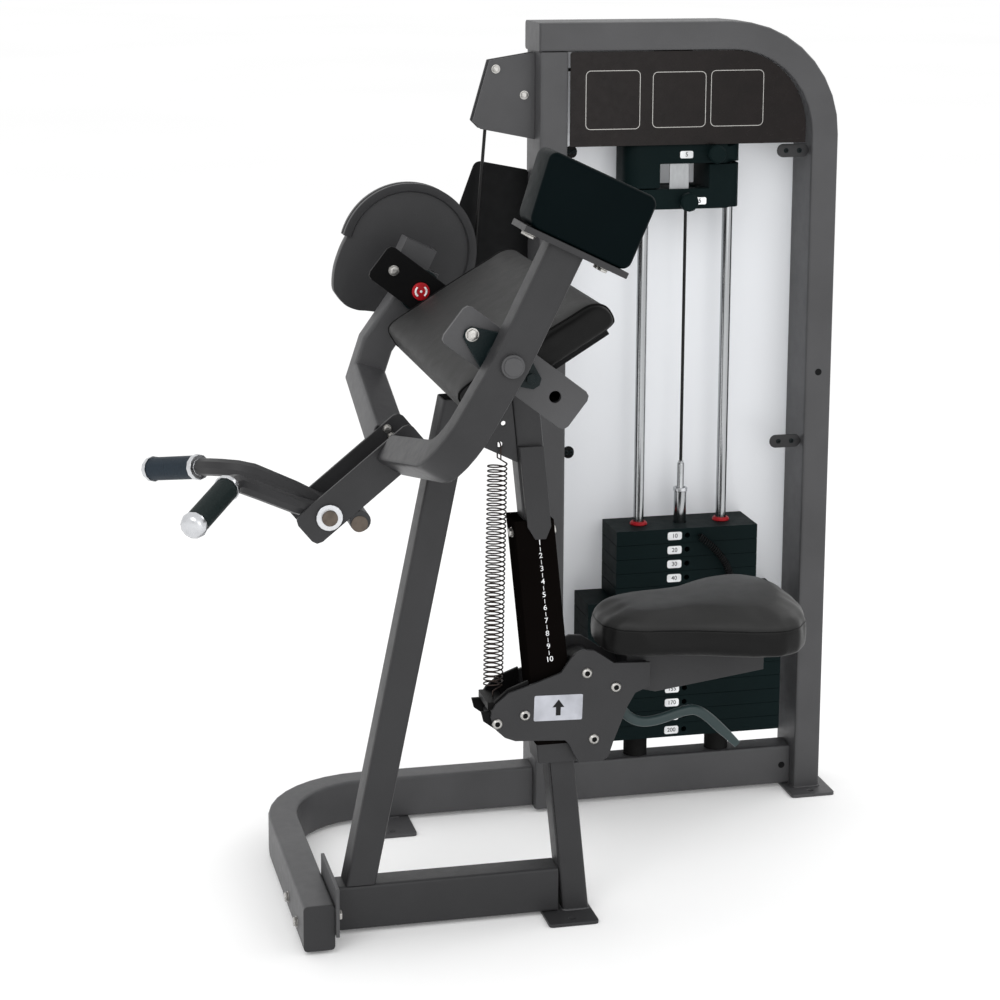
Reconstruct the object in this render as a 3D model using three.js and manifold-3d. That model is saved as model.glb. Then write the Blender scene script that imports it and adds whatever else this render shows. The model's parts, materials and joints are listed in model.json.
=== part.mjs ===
// Biceps curl machine with a selectorised weight stack.
// Millimetres. +Z is up, the user sits facing -X, and the weight tower stands on the +Y side.
// The origin is on the floor, under the middle of the foot plate of the seat column.
import * as THREE from 'three';
import { mergeVertices } from 'three/addons/utils/BufferGeometryUtils.js';
import Module from 'manifold-3d';

const wasm = await Module();
wasm.setup();

// Clearances and general sheet and tube sizes
const gap = 0.3;
const overrun = 4;
const tubeWall = 3;
const tubeCorner = 6;
const tubeSide = 50.8;
const tubeHalf = tubeSide / 2;
const baseTubeTall = 76.2;
const footThick = 6;
const boltRadius = 6;
const sheetThick = 3;
const baseTop = footThick + baseTubeTall;

// Pivot of the arms, from which the pad, the seat frame and the tower take their heights
const pivotX = -181;
const pivotZ = 1000;
const headTilt = THREE.MathUtils.degToRad(-37.6);

// Tower
const towerLeft = 57;
const towerFront = 420;
const towerWidth = 552;
const towerDepth = 101.6;
const towerRise = 440;
const hoopOuterRadius = 203;
const capThick = 3;
const towerFootLong = 174;
const footWide = 84;
const footHoleInset = 18;
const cableSlotTall = 26;
const cableSlotWide = 14;
const towerHeight = pivotZ + towerRise;
const towerRight = towerLeft + towerWidth;
const towerMidY = towerFront + towerDepth / 2;
const towerBack = towerFront + towerDepth;
const postInnerLeft = towerLeft + tubeSide;
const postInnerRight = towerRight - tubeSide;
const towerUnderside = towerHeight - tubeSide;
const hoopMidX = towerRight - hoopOuterRadius;
const hoopMidZ = towerHeight - hoopOuterRadius;
const cableY = towerMidY;

// Curved base tube
const curveRadius = 164.6;
const curveLap = 44;
const curveFrontX = -424.6;
const curveEndY = -88;
const baseFootX = -218;
const baseFootLong = 212;
const rubberPadLong = 70;
const rubberPadWide = 38;
const rubberPadInset = 14;
const curveMidY = towerFront + curveLap;

// Arm pad
const padSlope = THREE.MathUtils.degToRad(31.6);
const padHalfLong = 290;
const padThick = 50;
const padBoardThick = 10;
const padBoardInset = 22;
const crossTubeRun = 123;
const padRun = 268;
const padLead = 69;
const padDrop = 56;
const padCrown = 6;
const padNose = 14;
const padTopRound = 26;
const padEdge = 9;
const padEndRound = 5;
const padLowX = pivotX - padLead;
const padLowZ = pivotZ - padDrop;

// Seat frame
const columnWide = 45;
const columnFootX = 16;
const columnFootLong = 150;
const headLead = 101.9;
const columnRise = 25;
const legInset = 46.9;
const legLead = 3;
const legDrop = 64;
const bracketThick = 6;
const bracketLow = 30;
const bracketHigh = 112;
const bracketNearY = -100;
const bracketFarY = 52;
const curveInnerFace = curveFrontX + tubeHalf;
const seatBaseLeft = curveInnerFace + gap + bracketThick;
const legFootX = seatBaseLeft + legInset;
const legTopX = pivotX - legLead;
const legTopHeight = padLowZ - legDrop;
const columnTopX = pivotX + headLead;
const columnTopHeight = legTopHeight + columnRise;
const columnTilt = Math.atan((columnFootX - columnTopX) / columnTopHeight);

// Web plate between the leg and the column, with its two holes
const webThick = 6;
const webTall = 107;
const webRise = 41;
const webInset = 5;
const hookHoleRadius = 5;
const hookHoleLead = 63;
const hookHoleRise = 31;
const spareHoleRadius = 4;
const spareHoleLead = 69;
const spareHoleRise = 65;
const webLow = legTopHeight - webTall;
const hookHole = { x: pivotX + hookHoleLead, z: webLow + hookHoleRise, radius: hookHoleRadius };
const spareHole = { x: pivotX + spareHoleLead, z: webLow + spareHoleRise, radius: spareHoleRadius };

// Index rail on the column and the splice above it
const railDrop = 95;
const railLong = 410;
const railWide = 66;
const railShift = -7;
const railFrontThick = 5;
const indexPitch = 21.8;
const indexCount = 10;
const indexInset = 36.8;
const indexHoleRadius = 5;
const spliceThick = 3.4;
const spliceTipLap = 31;
const spliceLap = 10;
const spliceRise = 122;
const spliceTipHalf = 9;
const railTop = webLow - railDrop;
const railLow = railTop - railLong;
const indexHigh = railTop - indexInset;
const spliceTip = railTop - spliceTipLap;
const spliceShoulder = railTop - spliceLap;
const spliceHigh = railTop + spliceRise;

// Bearings of the arms
const bearingPlateInner = 294;
const bearingPlateThick = 8;
const bearingPlateWide = 67;
const bearingPlateLeft = 90;
const bearingPlateRight = 146;
const bearingPlateCorner = 10;
const bearingHoleReach = 102;
const bearingHoleRadius = 9;
const bearingBoltReach = 58;
const bearingEarRadius = 14;
const bearingBodyRadius = 30;
const bearingFlangeThick = 8;
const bearingBossRadius = 24;
const bearingBossLong = 16;
const shaftRadius = 15;
const shaftClearance = 0.4;
const shaftInset = 2.5;
const shaftInnerY = bearingPlateInner - shaftInset;

// Swinging arms, bent at shares of the way from the pivot to the carrier
const armWide = 56;
const armDeep = 48;
const armInner = 320;
const armCorner = 7;
const armBendRadius = 62;
const armLead = 104;
const armDrop = 200;
const armTilt = THREE.MathUtils.degToRad(26);
const nearArmTop = 182;
const armBossRadius = 18;
const armBossProud = 6;
const nearArmShares = [
  [-0.558, -0.485],
  [-0.875, -0.715],
];
const farArmShares = [
  [0.125, 0.17],
  [-0.048, -0.025],
  [-0.663, -0.475],
  [-0.837, -0.75],
];
const armMidY = armInner + armDeep / 2;

// Carrier channel of the handle, measured from where the arms join it
const carrierHalf = 45;
const carrierPlateThick = 6;
const carrierAngle = THREE.MathUtils.degToRad(39.2);
const carrierTall = 57;
const carrierCorner = 12;
const carrierBehind = 46.2;
const carrierAhead = 189.8;
const carrierFloorDrop = 27.1;
const carrierOpenEnd = 44;
const carrierPinReach = 144.8;
const carrierPinDrop = 3.1;
const handlePinRadius = 12.5;
const handleTubeRadius = 17;
const handleTubeReach = 112.8;
const handleTubeSink = 2;
const washerRadius = 21;
const washerThick = 5;
const carrierJoinX = pivotX - armLead;
const carrierJoinZ = pivotZ - armDrop;
const carrierCos = Math.cos(carrierAngle);
const carrierSin = Math.sin(carrierAngle);
const handleX = carrierJoinX - carrierPinReach * carrierCos + carrierPinDrop * carrierSin;
const handleZ = carrierJoinZ - carrierPinReach * carrierSin - carrierPinDrop * carrierCos;

// Counterweight and the plate it is bolted to
const weightPlateThick = 9;
const counterweightLong = 168;
const counterweightTall = 112;
const counterweightDeep = 78;
const counterweightShift = 9;
const counterweightCorner = 14;
const counterweightEdge = 5;

// Cam and cable, the tail of the cam in shares of its radius
const camRadius = 118;
const camLead = 13;
const camRise = 42;
const camHalf = 15;
const camCheekRadius = 106;
const camRimDepth = 3;
const camStart = THREE.MathUtils.degToRad(164);
const camEnd = THREE.MathUtils.degToRad(-32);
const camMargin = THREE.MathUtils.degToRad(6);
const cableRadius = 3;
const camTailShares = [
  [0.339, -0.814],
  [-0.11, -0.949],
  [-0.61, -0.881],
  [-0.822, -0.822],
  [-1.008, -0.703],
  [-1.161, -0.356],
  [-1.144, -0.169],
  [-0.932, 0.203],
];
const camPocketShares = [
  [0.068, -0.186],
  [-0.398, 0.068],
];
const camMidX = pivotX + camLead;
const camMidZ = pivotZ + camRise;
const camNearY = cableY - camHalf;
const camFarY = cableY + camHalf;

// Weight stack
const wideShare = 0.826;
const narrowShare = 0.595;
const rodShare = 0.3508;
const stackShift = 7;
const plateInset = 2.3;
const plateTall = 26.2;
const platePitch = 26.5;
const plateGroove = 1.1;
const plateEdge = 1.5;
const plateCount = 15;
const narrowCount = 5;
const pinPlate = 7;
const bumperTall = 43.8;
const bumperRadius = 22;
const rodRadius = 9.5;
const rodSlack = 1.5;
const stemRadius = 11;
const stemSlack = 1.6;
const pinRadius = 4.5;
const pinSlack = 0.7;
const stackWidth = postInnerRight - postInnerLeft;
const stackMidX = postInnerLeft + stackWidth / 2 + stackShift;
const wideWide = stackWidth * wideShare;
const narrowWide = stackWidth * narrowShare;
const rodSpacing = stackWidth * rodShare;
const plateDeep = towerDepth - 2 * plateInset;
const rodHoleRadius = rodRadius + rodSlack;
const stemHoleRadius = stemRadius + stemSlack;
const pinHoleRadius = pinRadius + pinSlack;
const stackFloor = baseTop + bumperTall;
const stackFront = towerMidY - plateDeep / 2;
const stackTop = stackFloor + (plateCount - 1) * platePitch + plateTall;
const pinZ = stackFloor + (plateCount - pinPlate) * platePitch + plateTall / 2;

// Pulleys and their guard plates
const sidePulleyReach = 44;
const sidePulleyDrop = 123;
const sidePulleyRadius = 38;
const topPulleyRadius = 32;
const topPulleyDrop = 117;
const pulleyWide = 14;
const pulleyBore = 8.4;
const pulleyLip = 4;
const axleRadius = 8;
const tieBarRadius = 5;
const guardInner = 9;
const guardThick = 4;
const sideGuardReach = 112;
const sideGuardTall = 152;
const sideGuardDrop = 82;
const sideGuardShares = [
  [0.875, 0.132],
  [1, 0.224],
  [0.732, 0.914],
  [0, 1],
  [0, 0],
];
const sideTieShares = [0.107, 0.165];
const topGuardLeft = 28;
const topGuardRight = 86;
const topGuardSlopeWide = 60;
const topGuardSlopeTall = 14;
const topTieReach = 60;
const topTieRise = 17;
const rodDrop = 91;
const rodHolderThick = 8;
const rodHolderDeep = 56;
const rodHolderLap = 22;
const sidePulley = {
  x: towerLeft - sidePulleyReach,
  z: towerHeight - sidePulleyDrop,
  radius: sidePulleyRadius,
};
const topPulley = {
  x: stackMidX - topPulleyRadius,
  z: towerHeight - topPulleyDrop,
  radius: topPulleyRadius,
};
const cableRunZ = sidePulley.z + sidePulley.radius;
const rodTop = topPulley.z - rodDrop;

// Selector stem and pin
const stemFoot = 4;
const stemHeadRadius = 17;
const stemHeadTall = 9;
const stemHeadSlope = 5;
const stemCollarRise = 52.8;
const stemCollarTall = 16;
const stemNeckRadius = 8.8;
const stemNeckEdge = 4;
const stemNeckTall = 36;
const stemTipTall = 11;
const stemTipWall = 2;
const pinKnobRadius = 13;
const pinKnobLong = 26;
const pinKnobEdge = 2;
const pinCollar = 3;
const pinLong = 58;
const stemCollarLow = stackTop + stemCollarRise;
const stemNeckLow = stemCollarLow + stemCollarTall;
const stemTip = stemNeckLow + stemNeckTall + stemTipTall;

// Add-on weights on the same rods, and their strap
const addOnInset = 3.8;
const addOnShift = 2;
const addOnLap = 45;
const addOnRim = 1;
const addOnShoulder = 62;
const addOnUpperTall = 80;
const addOnUpperStep = 37;
const addOnLowerTall = 79;
const addOnLowerStep = 36;
const addOnDrop = 5;
const addOnGap = 2;
const addOnBoreRadius = 21;
const knobRadius = 16.5;
const knobLong = 31;
const knobSink = 1;
const knobUpperReach = 35;
const knobUpperDrop = 19;
const knobLowerReach = 15;
const knobLowerRise = 15;
const knobShares = [
  [0, 0],
  [0.82, 0],
  [1, 0.1],
  [1, 0.48],
  [0.7, 0.65],
  [0.42, 0.71],
  [0.42, 1],
  [0, 1],
];
const strapWide = 36;
const strapReach = 43;
const strapInset = 12;
const strapFoot = 9;
const addOnDeep = towerDepth - 2 * addOnInset;
const addOnNear = towerMidY + addOnShift - addOnDeep / 2;
const addOnLeft = stackMidX - rodSpacing / 2 - addOnLap;
const addOnRight = stackMidX + rodSpacing / 2 + rodHoleRadius + addOnRim;
const addOnTop = rodTop - addOnDrop;
const addOnLow = addOnTop - addOnUpperStep - addOnGap - addOnLowerTall;
const strapLeft = stackMidX - strapReach;
const strapRight = strapLeft + strapWide;
const strapNear = towerFront + strapInset;

// Panels and placard
const panelLap = 25.8;
const panelClear = 7.8;
const panelCornerShares = [
  [1, 0.085],
  [0.865, 0.61],
  [0.53, 1],
];
const camGuardWide = 132;
const camGuardTall = 314;
const camGuardDrop = 162;
const camGuardInset = 16.6;
const camGuardShares = [
  [0.9, 0],
  [1, 0.525],
  [0.947, 0.758],
  [0.75, 0.984],
  [0.682, 1],
  [0, 0.943],
  [0, 0],
];
const placardInset = 12;
const placardSide = 3.2;
const placardBelow = 25;
const placardCorner = 5;
const placardSink = 1;

// Handle, bent at shares of its reach, its half spread and its rise from the pin
const barRadius = 14;
const handleHubRadius = 20;
const handleReach = 257;
const handleSpread = 201;
const handleRise = 70;
const gripRadius = 19;
const gripLip = 2;
const gripCollarLong = 9;
const gripDomeLong = 16;
const nearBarShares = [
  [0, -0.1, 0],
  [-0.19, -0.119, 0.242],
  [-0.419, -0.134, 0.627],
  [-0.501, -0.159, 0.77],
  [-0.563, -0.229, 0.899],
  [-0.606, -0.338, 0.956],
  [-0.629, -0.453, 0.985],
];
const farBarShares = [
  [0, 0.1, 0.086],
  [-0.178, 0.119, 0.442],
  [-0.423, 0.134, 0.87],
  [-0.513, 0.159, 0.942],
  [-0.602, 0.229, 0.942],
  [-0.664, 0.328, 0.899],
  [-0.719, 0.448, 0.827],
];
const gripEndShares = {
  near: [-0.902, -1, 0.499],
  far: [-0.999, 1, 0.456],
};

// Seat, placed from the roller that runs behind the rail
const rollerDrop = 256;
const rollerRadius = 26;
const rollerHalf = 28;
const rollerEdge = 2;
const seatPlateHalf = 45;
const seatPlateThick = 6;
const tieRadius = 6;
const carriageLong = 267;
const carriageTall = 191;
const carriageShares = [
  [-0.561, -0.455],
  [-0.509, -0.524],
  [-0.445, -0.56],
  [-0.134, -0.586],
  [-0.108, -0.623],
  [-0.078, -0.712],
  [-0.045, -0.796],
  [0.105, -0.796],
  [0.143, -0.759],
  [0.173, -0.628],
  [0.259, -0.325],
  [0.307, -0.209],
  [0.397, -0.157],
  [0.401, 0.058],
  [0.169, 0.073],
  [0.113, 0.131],
  [0.045, 0.194],
  [-0.03, 0.204],
  [-0.071, 0.178],
  [-0.104, 0.131],
  [-0.161, 0.016],
  [-0.303, -0.052],
  [-0.487, -0.131],
  [-0.565, -0.225],
  [-0.591, -0.283],
  [-0.599, -0.34],
];
const tieShares = [
  [-0.558, -0.393],
  [-0.385, -0.335],
  [0.049, -0.592],
];
const seatFloorRise = 30;
const seatArmLong = 237;
const seatArmTall = 77;
const seatArmLead = 72.1;
const seatArmShares = [
  [0, -0.831],
  [0.211, -1],
  [0.996, -0.675],
  [1, 0],
  [0, 0],
];
const seatRootShares = [
  [0, -0.805],
  [0.135, -0.753],
  [0.135, -0.286],
  [0, -0.286],
];
const seatPadThick = 76;
const seatLong = 353;
const seatHalf = 134;
const seatLead = 22.1;
const seatMidShare = 0.521;
const seatOutlineShares = [
  [0, 0],
  [0.011, 0.299],
  [0.057, 0.493],
  [0.153, 0.612],
  [0.295, 0.672],
  [0.422, 0.746],
  [0.55, 0.866],
  [0.677, 0.97],
  [0.805, 1],
  [0.895, 0.896],
  [0.958, 0.657],
  [0.992, 0.328],
  [1, 0],
];
// Inset and height of each ring of the saddle, in shares of its thickness
const seatLayerShares = [
  [0.118, 0],
  [0.026, 0.055],
  [0, 0.184],
  [0, 0.57],
  [0.039, 0.7],
  [0.158, 0.8],
  [0.395, 0.874],
  [0.79, 0.911],
  [1.105, 0.92],
];
const rollerZ = railTop - rollerDrop;
const rollerFace = columnX(rollerZ) + railShift + railWide / 2;
const rollerX = rollerFace + (rollerRadius + gap) / Math.cos(columnTilt);
const seatFloor = rollerZ + seatFloorRise;
const seatPlateInner = seatPlateHalf - seatPlateThick;

// Lever under the seat
const leverLead = 49.1;
const leverSink = 27;
const leverReach = 220;
const leverFall = 123;
const leverDeep = 16;
const leverThick = 13;
const leverCorner = 2;
const leverInset = 20;
const leverHubRadius = 11;
const leverHubClear = 3;
const leverShares = [
  [0, 0],
  [0.068, -0.301],
  [0.127, -0.463],
  [0.177, -0.561],
  [0.236, -0.585],
  [0.386, -0.537],
  [0.541, -0.463],
  [0.605, -0.447],
  [0.655, -0.48],
  [0.714, -0.561],
  [1, -1],
];
const leverX = rollerX + leverLead;
const leverZ = rollerZ - leverSink;

// Lifting spring of the seat and its bracket
const curlSteps = 8;
const curlSides = 5;
const springCoilRadius = 15.4;
const springWireRadius = 1.6;
const springTurns = 37;
const springInset = 4;
const springHookShift = 1;
const springHookDrop = 5;
const springHookLong = 22;
const springFootLead = 146.9;
const springFootDrop = 24;
const springTailLong = 18;
const springBlockTall = 12;
const springCheekInset = 7;
const springCheekTie = 2.5;
const springCheekLead = 173.9;
const springCheekDrop = 88;
const springCheekLong = 78;
const springCheekTall = 80;
const springCheekShares = [
  [0.051, 0.2],
  [0.321, 0],
  [0.91, 0.075],
  [1, 0.225],
  [1, 1],
  [0.564, 0.838],
  [0.295, 0.613],
  [0.205, 0.4],
  [0, 0.4],
];

// Curly lanyard from an eye on the top plate down to the selector pin
const lanyardCoilRadius = 3.4;
const lanyardWireRadius = 1.1;
const lanyardTurns = 17;
const lanyardEyeReach = 21;
const lanyardEyeDrop = 13.2;
const lanyardEyeLong = 5;
const lanyardEndLong = 9;
const lanyardReach = 78;
const lanyardProud = 18;
const lanyardPinShare = 0.944;
const lanyardShares = [
  [0.269, 0.444, 0.994],
  [0.59, 0.889, 0.855],
  [0.872, 1, 0.673],
  [1, 1, 0.484],
  [0.962, 1, 0.283],
  [0.718, 1, 0.094],
  [0.41, 0.944, 0],
];

const materials = {};

function paint(name, colour, roughness, metalness) {
  materials[name] = { colour, roughness, metalness };
}

paint('frame', 0x4a4a4c, 0.5, 0.2);
paint('dark', 0x18221f, 0.6, 0.1);
paint('black', 0x101010, 0.5, 0.1);
paint('vinyl', 0x1c1c1c, 0.6, 0);
paint('chrome', 0xc8c8c8, 0.15, 1);
paint('steel', 0x8a8a88, 0.35, 1);
paint('alloy', 0xb8babc, 0.35, 1);
paint('grip', 0x23282c, 0.7, 0);
paint('rubber', 0x161616, 0.8, 0);
paint('clear', 0xd9dde2, 0.3, 0);
paint('zinc', 0x9a9a9a, 0.5, 0.9);

// Shapes and solids

function roundedRect(wide, tall, corner) {
  const halfW = wide / 2;
  const halfT = tall / 2;
  const shape = new THREE.Shape();
  shape.moveTo(corner - halfW, -halfT);
  shape.lineTo(halfW - corner, -halfT);
  shape.absarc(halfW - corner, corner - halfT, corner, -Math.PI / 2, 0);
  shape.lineTo(halfW, halfT - corner);
  shape.absarc(halfW - corner, halfT - corner, corner, 0, Math.PI / 2);
  shape.lineTo(corner - halfW, halfT);
  shape.absarc(corner - halfW, halfT - corner, corner, Math.PI / 2, Math.PI);
  shape.lineTo(-halfW, corner - halfT);
  shape.absarc(corner - halfW, corner - halfT, corner, Math.PI, Math.PI * 1.5);
  return shape;
}

function rectangle(wide, tall) {
  return polygon([
    [-wide / 2, -tall / 2],
    [wide / 2, -tall / 2],
    [wide / 2, tall / 2],
    [-wide / 2, tall / 2],
  ]);
}

function tubeSection(wide, tall) {
  const shape = roundedRect(wide, tall, tubeCorner);
  shape.holes.push(roundedRect(wide - 2 * tubeWall, tall - 2 * tubeWall, tubeCorner - tubeWall));
  return shape;
}

function box(left, right, low, high) {
  return polygon([
    [left, low],
    [right, low],
    [right, high],
    [left, high],
  ]);
}

function polygon(points) {
  return new THREE.Shape(points.map(([x, y]) => new THREE.Vector2(x, y)));
}

function circle(radius, x = 0, y = 0, sides = 12) {
  const points = [];
  for (let side = 0; side < sides; side += 1) {
    const turn = Math.PI * 2 * side / sides;
    points.push([x + radius * Math.cos(turn), y + radius * Math.sin(turn)]);
  }
  return polygon(points);
}

function extrude(shape, depth, steps = 1) {
  return new THREE.ExtrudeGeometry(shape, { depth, bevelEnabled: false, curveSegments: steps });
}

// A side-view outline, x and z, given thickness from one y to another
function sideSlab(shape, yLow, yHigh, steps) {
  const turn = new THREE.Matrix4().makeBasis(
    new THREE.Vector3(1, 0, 0),
    new THREE.Vector3(0, 0, 1),
    new THREE.Vector3(0, -1, 0),
  );
  turn.setPosition(0, yHigh, 0);
  return extrude(shape, yHigh - yLow, steps).applyMatrix4(turn);
}

// A plan outline, x and y, given height from one z to another
function planSlab(shape, zLow, zHigh, steps) {
  return extrude(shape, zHigh - zLow, steps).translate(0, 0, zLow);
}

// An end-view outline, y and z, given length from one x to another
function endSlab(shape, xLow, xHigh, steps) {
  const turn = new THREE.Matrix4().makeBasis(
    new THREE.Vector3(0, 1, 0),
    new THREE.Vector3(0, 0, 1),
    new THREE.Vector3(1, 0, 0),
  );
  turn.setPosition(xLow, 0, 0);
  return extrude(shape, xHigh - xLow, steps).applyMatrix4(turn);
}

function bar(radius, from, to, sides = 16) {
  const start = new THREE.Vector3(...from);
  const along = new THREE.Vector3(...to).sub(start);
  const geometry = new THREE.CylinderGeometry(radius, radius, along.length(), sides);
  const up = new THREE.Vector3(0, 1, 0);
  const turn = new THREE.Quaternion().setFromUnitVectors(up, along.clone().normalize());
  geometry.applyQuaternion(turn);
  const middle = start.addScaledVector(along, 0.5);
  return geometry.translate(middle.x, middle.y, middle.z);
}

function middleOf(ring) {
  return ring.reduce((sum, point) => sum.add(point), new THREE.Vector3()).divideScalar(ring.length);
}

// A skin over rings of points, every ring with the same count and the last one facing ahead
function skin(rings, starCaps = false) {
  const count = rings[0].length;
  const points = rings.flat();
  if (starCaps) {
    points.push(middleOf(rings[0]), middleOf(rings[rings.length - 1]));
  }
  const positions = points.flatMap((point) => [point.x, point.y, point.z]);
  const faces = [];
  for (let ring = 0; ring + 1 < rings.length; ring += 1) {
    for (let side = 0; side < count; side += 1) {
      const next = (side + 1) % count;
      const a = ring * count + side;
      const b = ring * count + next;
      const c = a + count;
      const d = b + count;
      faces.push(a, b, d, a, d, c);
    }
  }
  const last = (rings.length - 1) * count;
  const low = points.length - 2;
  for (let side = 0; starCaps && side < count; side += 1) {
    const next = (side + 1) % count;
    faces.push(low, next, side);
    faces.push(low + 1, last + side, last + next);
  }
  for (let side = 1; !starCaps && side + 1 < count; side += 1) {
    faces.push(0, side + 1, side);
    faces.push(last, last + side, last + side + 1);
  }
  const geometry = new THREE.BufferGeometry();
  geometry.setAttribute('position', new THREE.Float32BufferAttribute(positions, 3));
  geometry.setIndex(faces);
  return geometry;
}

// One section loop set into a frame: its own x and y axes and its origin
function placeLoop(loop, origin, axisX, axisY) {
  return loop.map((point) => origin.clone().addScaledVector(axisX, point.x).addScaledVector(axisY, point.y));
}

function loopOf(wide, tall, corner, steps = 1) {
  const points = roundedRect(wide, tall, corner).extractPoints(steps).shape;
  return THREE.ShapeUtils.isClockWise(points) ? points.reverse() : points;
}

function toSolid(geometry) {
  const bare = geometry.clone();
  bare.deleteAttribute('normal');
  bare.deleteAttribute('uv');
  const merged = mergeVertices(bare, 1e-4);
  const mesh = new wasm.Mesh({
    numProp: 3,
    vertProperties: Float32Array.from(merged.attributes.position.array),
    triVerts: Uint32Array.from(merged.index.array),
  });
  return new wasm.Manifold(mesh);
}

function toGeometry(solid) {
  const mesh = solid.getMesh();
  const geometry = new THREE.BufferGeometry();
  const positions = [];
  for (let vertex = 0; vertex < mesh.numVert; vertex += 1) {
    const start = vertex * mesh.numProp;
    positions.push(...mesh.vertProperties.slice(start, start + 3));
  }
  geometry.setAttribute('position', new THREE.Float32BufferAttribute(positions, 3));
  geometry.setIndex(Array.from(mesh.triVerts));
  return geometry;
}

function join(...parts) {
  return toGeometry(parts.map(toSolid).reduce((whole, part) => whole.add(part)));
}

function cut(body, ...tools) {
  return toGeometry(tools.map(toSolid).reduce((whole, tool) => whole.subtract(tool), toSolid(body)));
}

const machine = new THREE.Group();

function add(group, name, finish, geometry) {
  const { colour, roughness, metalness } = materials[finish];
  const material = new THREE.MeshStandardMaterial({ color: colour, roughness, metalness });
  const flat = geometry.index ? geometry.toNonIndexed() : geometry;
  flat.computeVertexNormals();
  const mesh = new THREE.Mesh(flat, material);
  mesh.name = name;
  group.add(mesh);
  return mesh;
}

// Tower frame

function hoopRings(wide, deep, corner, extra) {
  const loop = loopOf(wide, deep, corner);
  const rings = [];
  const across = new THREE.Vector3(0, 1, 0);
  const midRadius = hoopOuterRadius - tubeHalf;
  const centre = new THREE.Vector3(hoopMidX, towerMidY, hoopMidZ);
  const inward = across.clone().negate();
  const start = new THREE.Vector3(towerLeft - extra, towerMidY, towerHeight - tubeHalf);
  rings.push(placeLoop(loop, start, new THREE.Vector3(0, 0, 1), inward));
  const bendSteps = 9;
  for (let step = 0; step <= bendSteps; step += 1) {
    const turn = Math.PI / 2 * (1 - step / bendSteps);
    const outward = new THREE.Vector3(Math.cos(turn), 0, Math.sin(turn));
    rings.push(placeLoop(loop, centre.clone().addScaledVector(outward, midRadius), outward, inward));
  }
  const low = new THREE.Vector3(centre.x + midRadius, towerMidY, footThick / 2 - extra);
  rings.push(placeLoop(loop, low, new THREE.Vector3(1, 0, 0), inward));
  return rings;
}

function makeHoop() {
  const outside = skin(hoopRings(tubeSide, towerDepth, tubeCorner, 0));
  const core = [tubeSide - 2 * tubeWall, towerDepth - 2 * tubeWall, tubeCorner - tubeWall];
  const inside = skin(hoopRings(...core, overrun));
  const plate = footPlate(towerRight + footHoleInset - footWide / 2, towerMidY, footWide, towerFootLong);
  return join(cut(outside, inside), plate);
}

function footPlate(midX, midY, wide, long) {
  const shape = roundedRect(wide, long, boltRadius);
  const holeY = long / 2 - footHoleInset;
  for (const side of [-1, 1]) {
    shape.holes.push(circle(boltRadius, 0, side * holeY));
  }
  return planSlab(shape, 0, footThick).translate(midX, midY, 0);
}

function makeLeftPost() {
  const post = planSlab(tubeSection(tubeSide, towerDepth), footThick, towerUnderside);
  post.translate(towerLeft + tubeHalf, towerMidY, 0);
  const slotShape = roundedRect(cableSlotWide, cableSlotTall, tubeCorner);
  const slot = endSlab(slotShape, towerLeft - overrun, postInnerLeft + overrun);
  slot.translate(0, towerMidY, cableRunZ);
  return cut(post, slot);
}

const tower = new THREE.Group();
machine.add(tower);
add(tower, 'tower_left_post', 'frame', makeLeftPost());
add(tower, 'tower_hoop', 'frame', makeHoop());
add(tower, 'tower_end_cap', 'black',
  endSlab(roundedRect(towerDepth, tubeSide, tubeCorner), towerLeft - capThick, towerLeft)
    .translate(0, towerMidY, towerHeight - tubeHalf));
add(tower, 'tower_bottom_tube', 'frame',
  endSlab(tubeSection(tubeSide, baseTubeTall), postInnerLeft, postInnerRight)
    .translate(0, towerMidY, footThick + baseTubeTall / 2));

// Curved base

function curveRings(wide, tall, corner, extra) {
  const loop = loopOf(wide, tall, corner);
  const up = new THREE.Vector3(0, 0, 1);
  const midZ = footThick + baseTubeTall / 2;
  const rings = [];
  const centre = new THREE.Vector3(curveFrontX + curveRadius, curveMidY - curveRadius, midZ);
  const start = new THREE.Vector3(towerLeft - gap + extra, curveMidY, midZ);
  rings.push(placeLoop(loop, start, new THREE.Vector3(0, 1, 0), up));
  const bendSteps = 9;
  for (let step = 0; step <= bendSteps; step += 1) {
    const turn = Math.PI / 2 * (1 + step / bendSteps);
    const outward = new THREE.Vector3(Math.cos(turn), Math.sin(turn), 0);
    rings.push(placeLoop(loop, centre.clone().addScaledVector(outward, curveRadius), outward, up));
  }
  const end = new THREE.Vector3(curveFrontX, curveEndY - extra, midZ);
  rings.push(placeLoop(loop, end, new THREE.Vector3(-1, 0, 0), up));
  return rings.map((ring) => ring.slice().reverse());
}

function makeCurveTube() {
  const outside = skin(curveRings(tubeSide, baseTubeTall, tubeCorner, 0));
  const core = [tubeSide - 2 * tubeWall, baseTubeTall - 2 * tubeWall, tubeCorner - tubeWall];
  const inside = skin(curveRings(...core, overrun));
  const plate = footPlate(baseFootX, curveMidY, footWide, baseFootLong);
  const lip = planSlab(roundedRect(tubeSide, tubeSide, tubeWall), footThick / 2, footThick + tubeWall / 2);
  return join(cut(outside, inside), lip.translate(baseFootX, curveMidY, 0), plate);
}

const base = new THREE.Group();
machine.add(base);
add(base, 'base_curved_tube', 'frame', makeCurveTube());
add(base, 'base_end_cap', 'black',
  sideSlab(roundedRect(tubeSide, baseTubeTall, tubeCorner), curveEndY - capThick, curveEndY)
    .translate(curveFrontX, 0, footThick + baseTubeTall / 2));
add(base, 'base_rubber_pad', 'rubber',
  planSlab(roundedRect(rubberPadWide, rubberPadLong, tubeCorner), 0, footThick)
    .translate(curveFrontX, curveEndY + rubberPadInset + rubberPadLong / 2, 0));

// Seat frame: base tube, bracket, front leg, slanted column and its index rail

function columnX(z) {
  return columnFootX + (columnTopX - columnFootX) * z / columnTopHeight;
}

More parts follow.
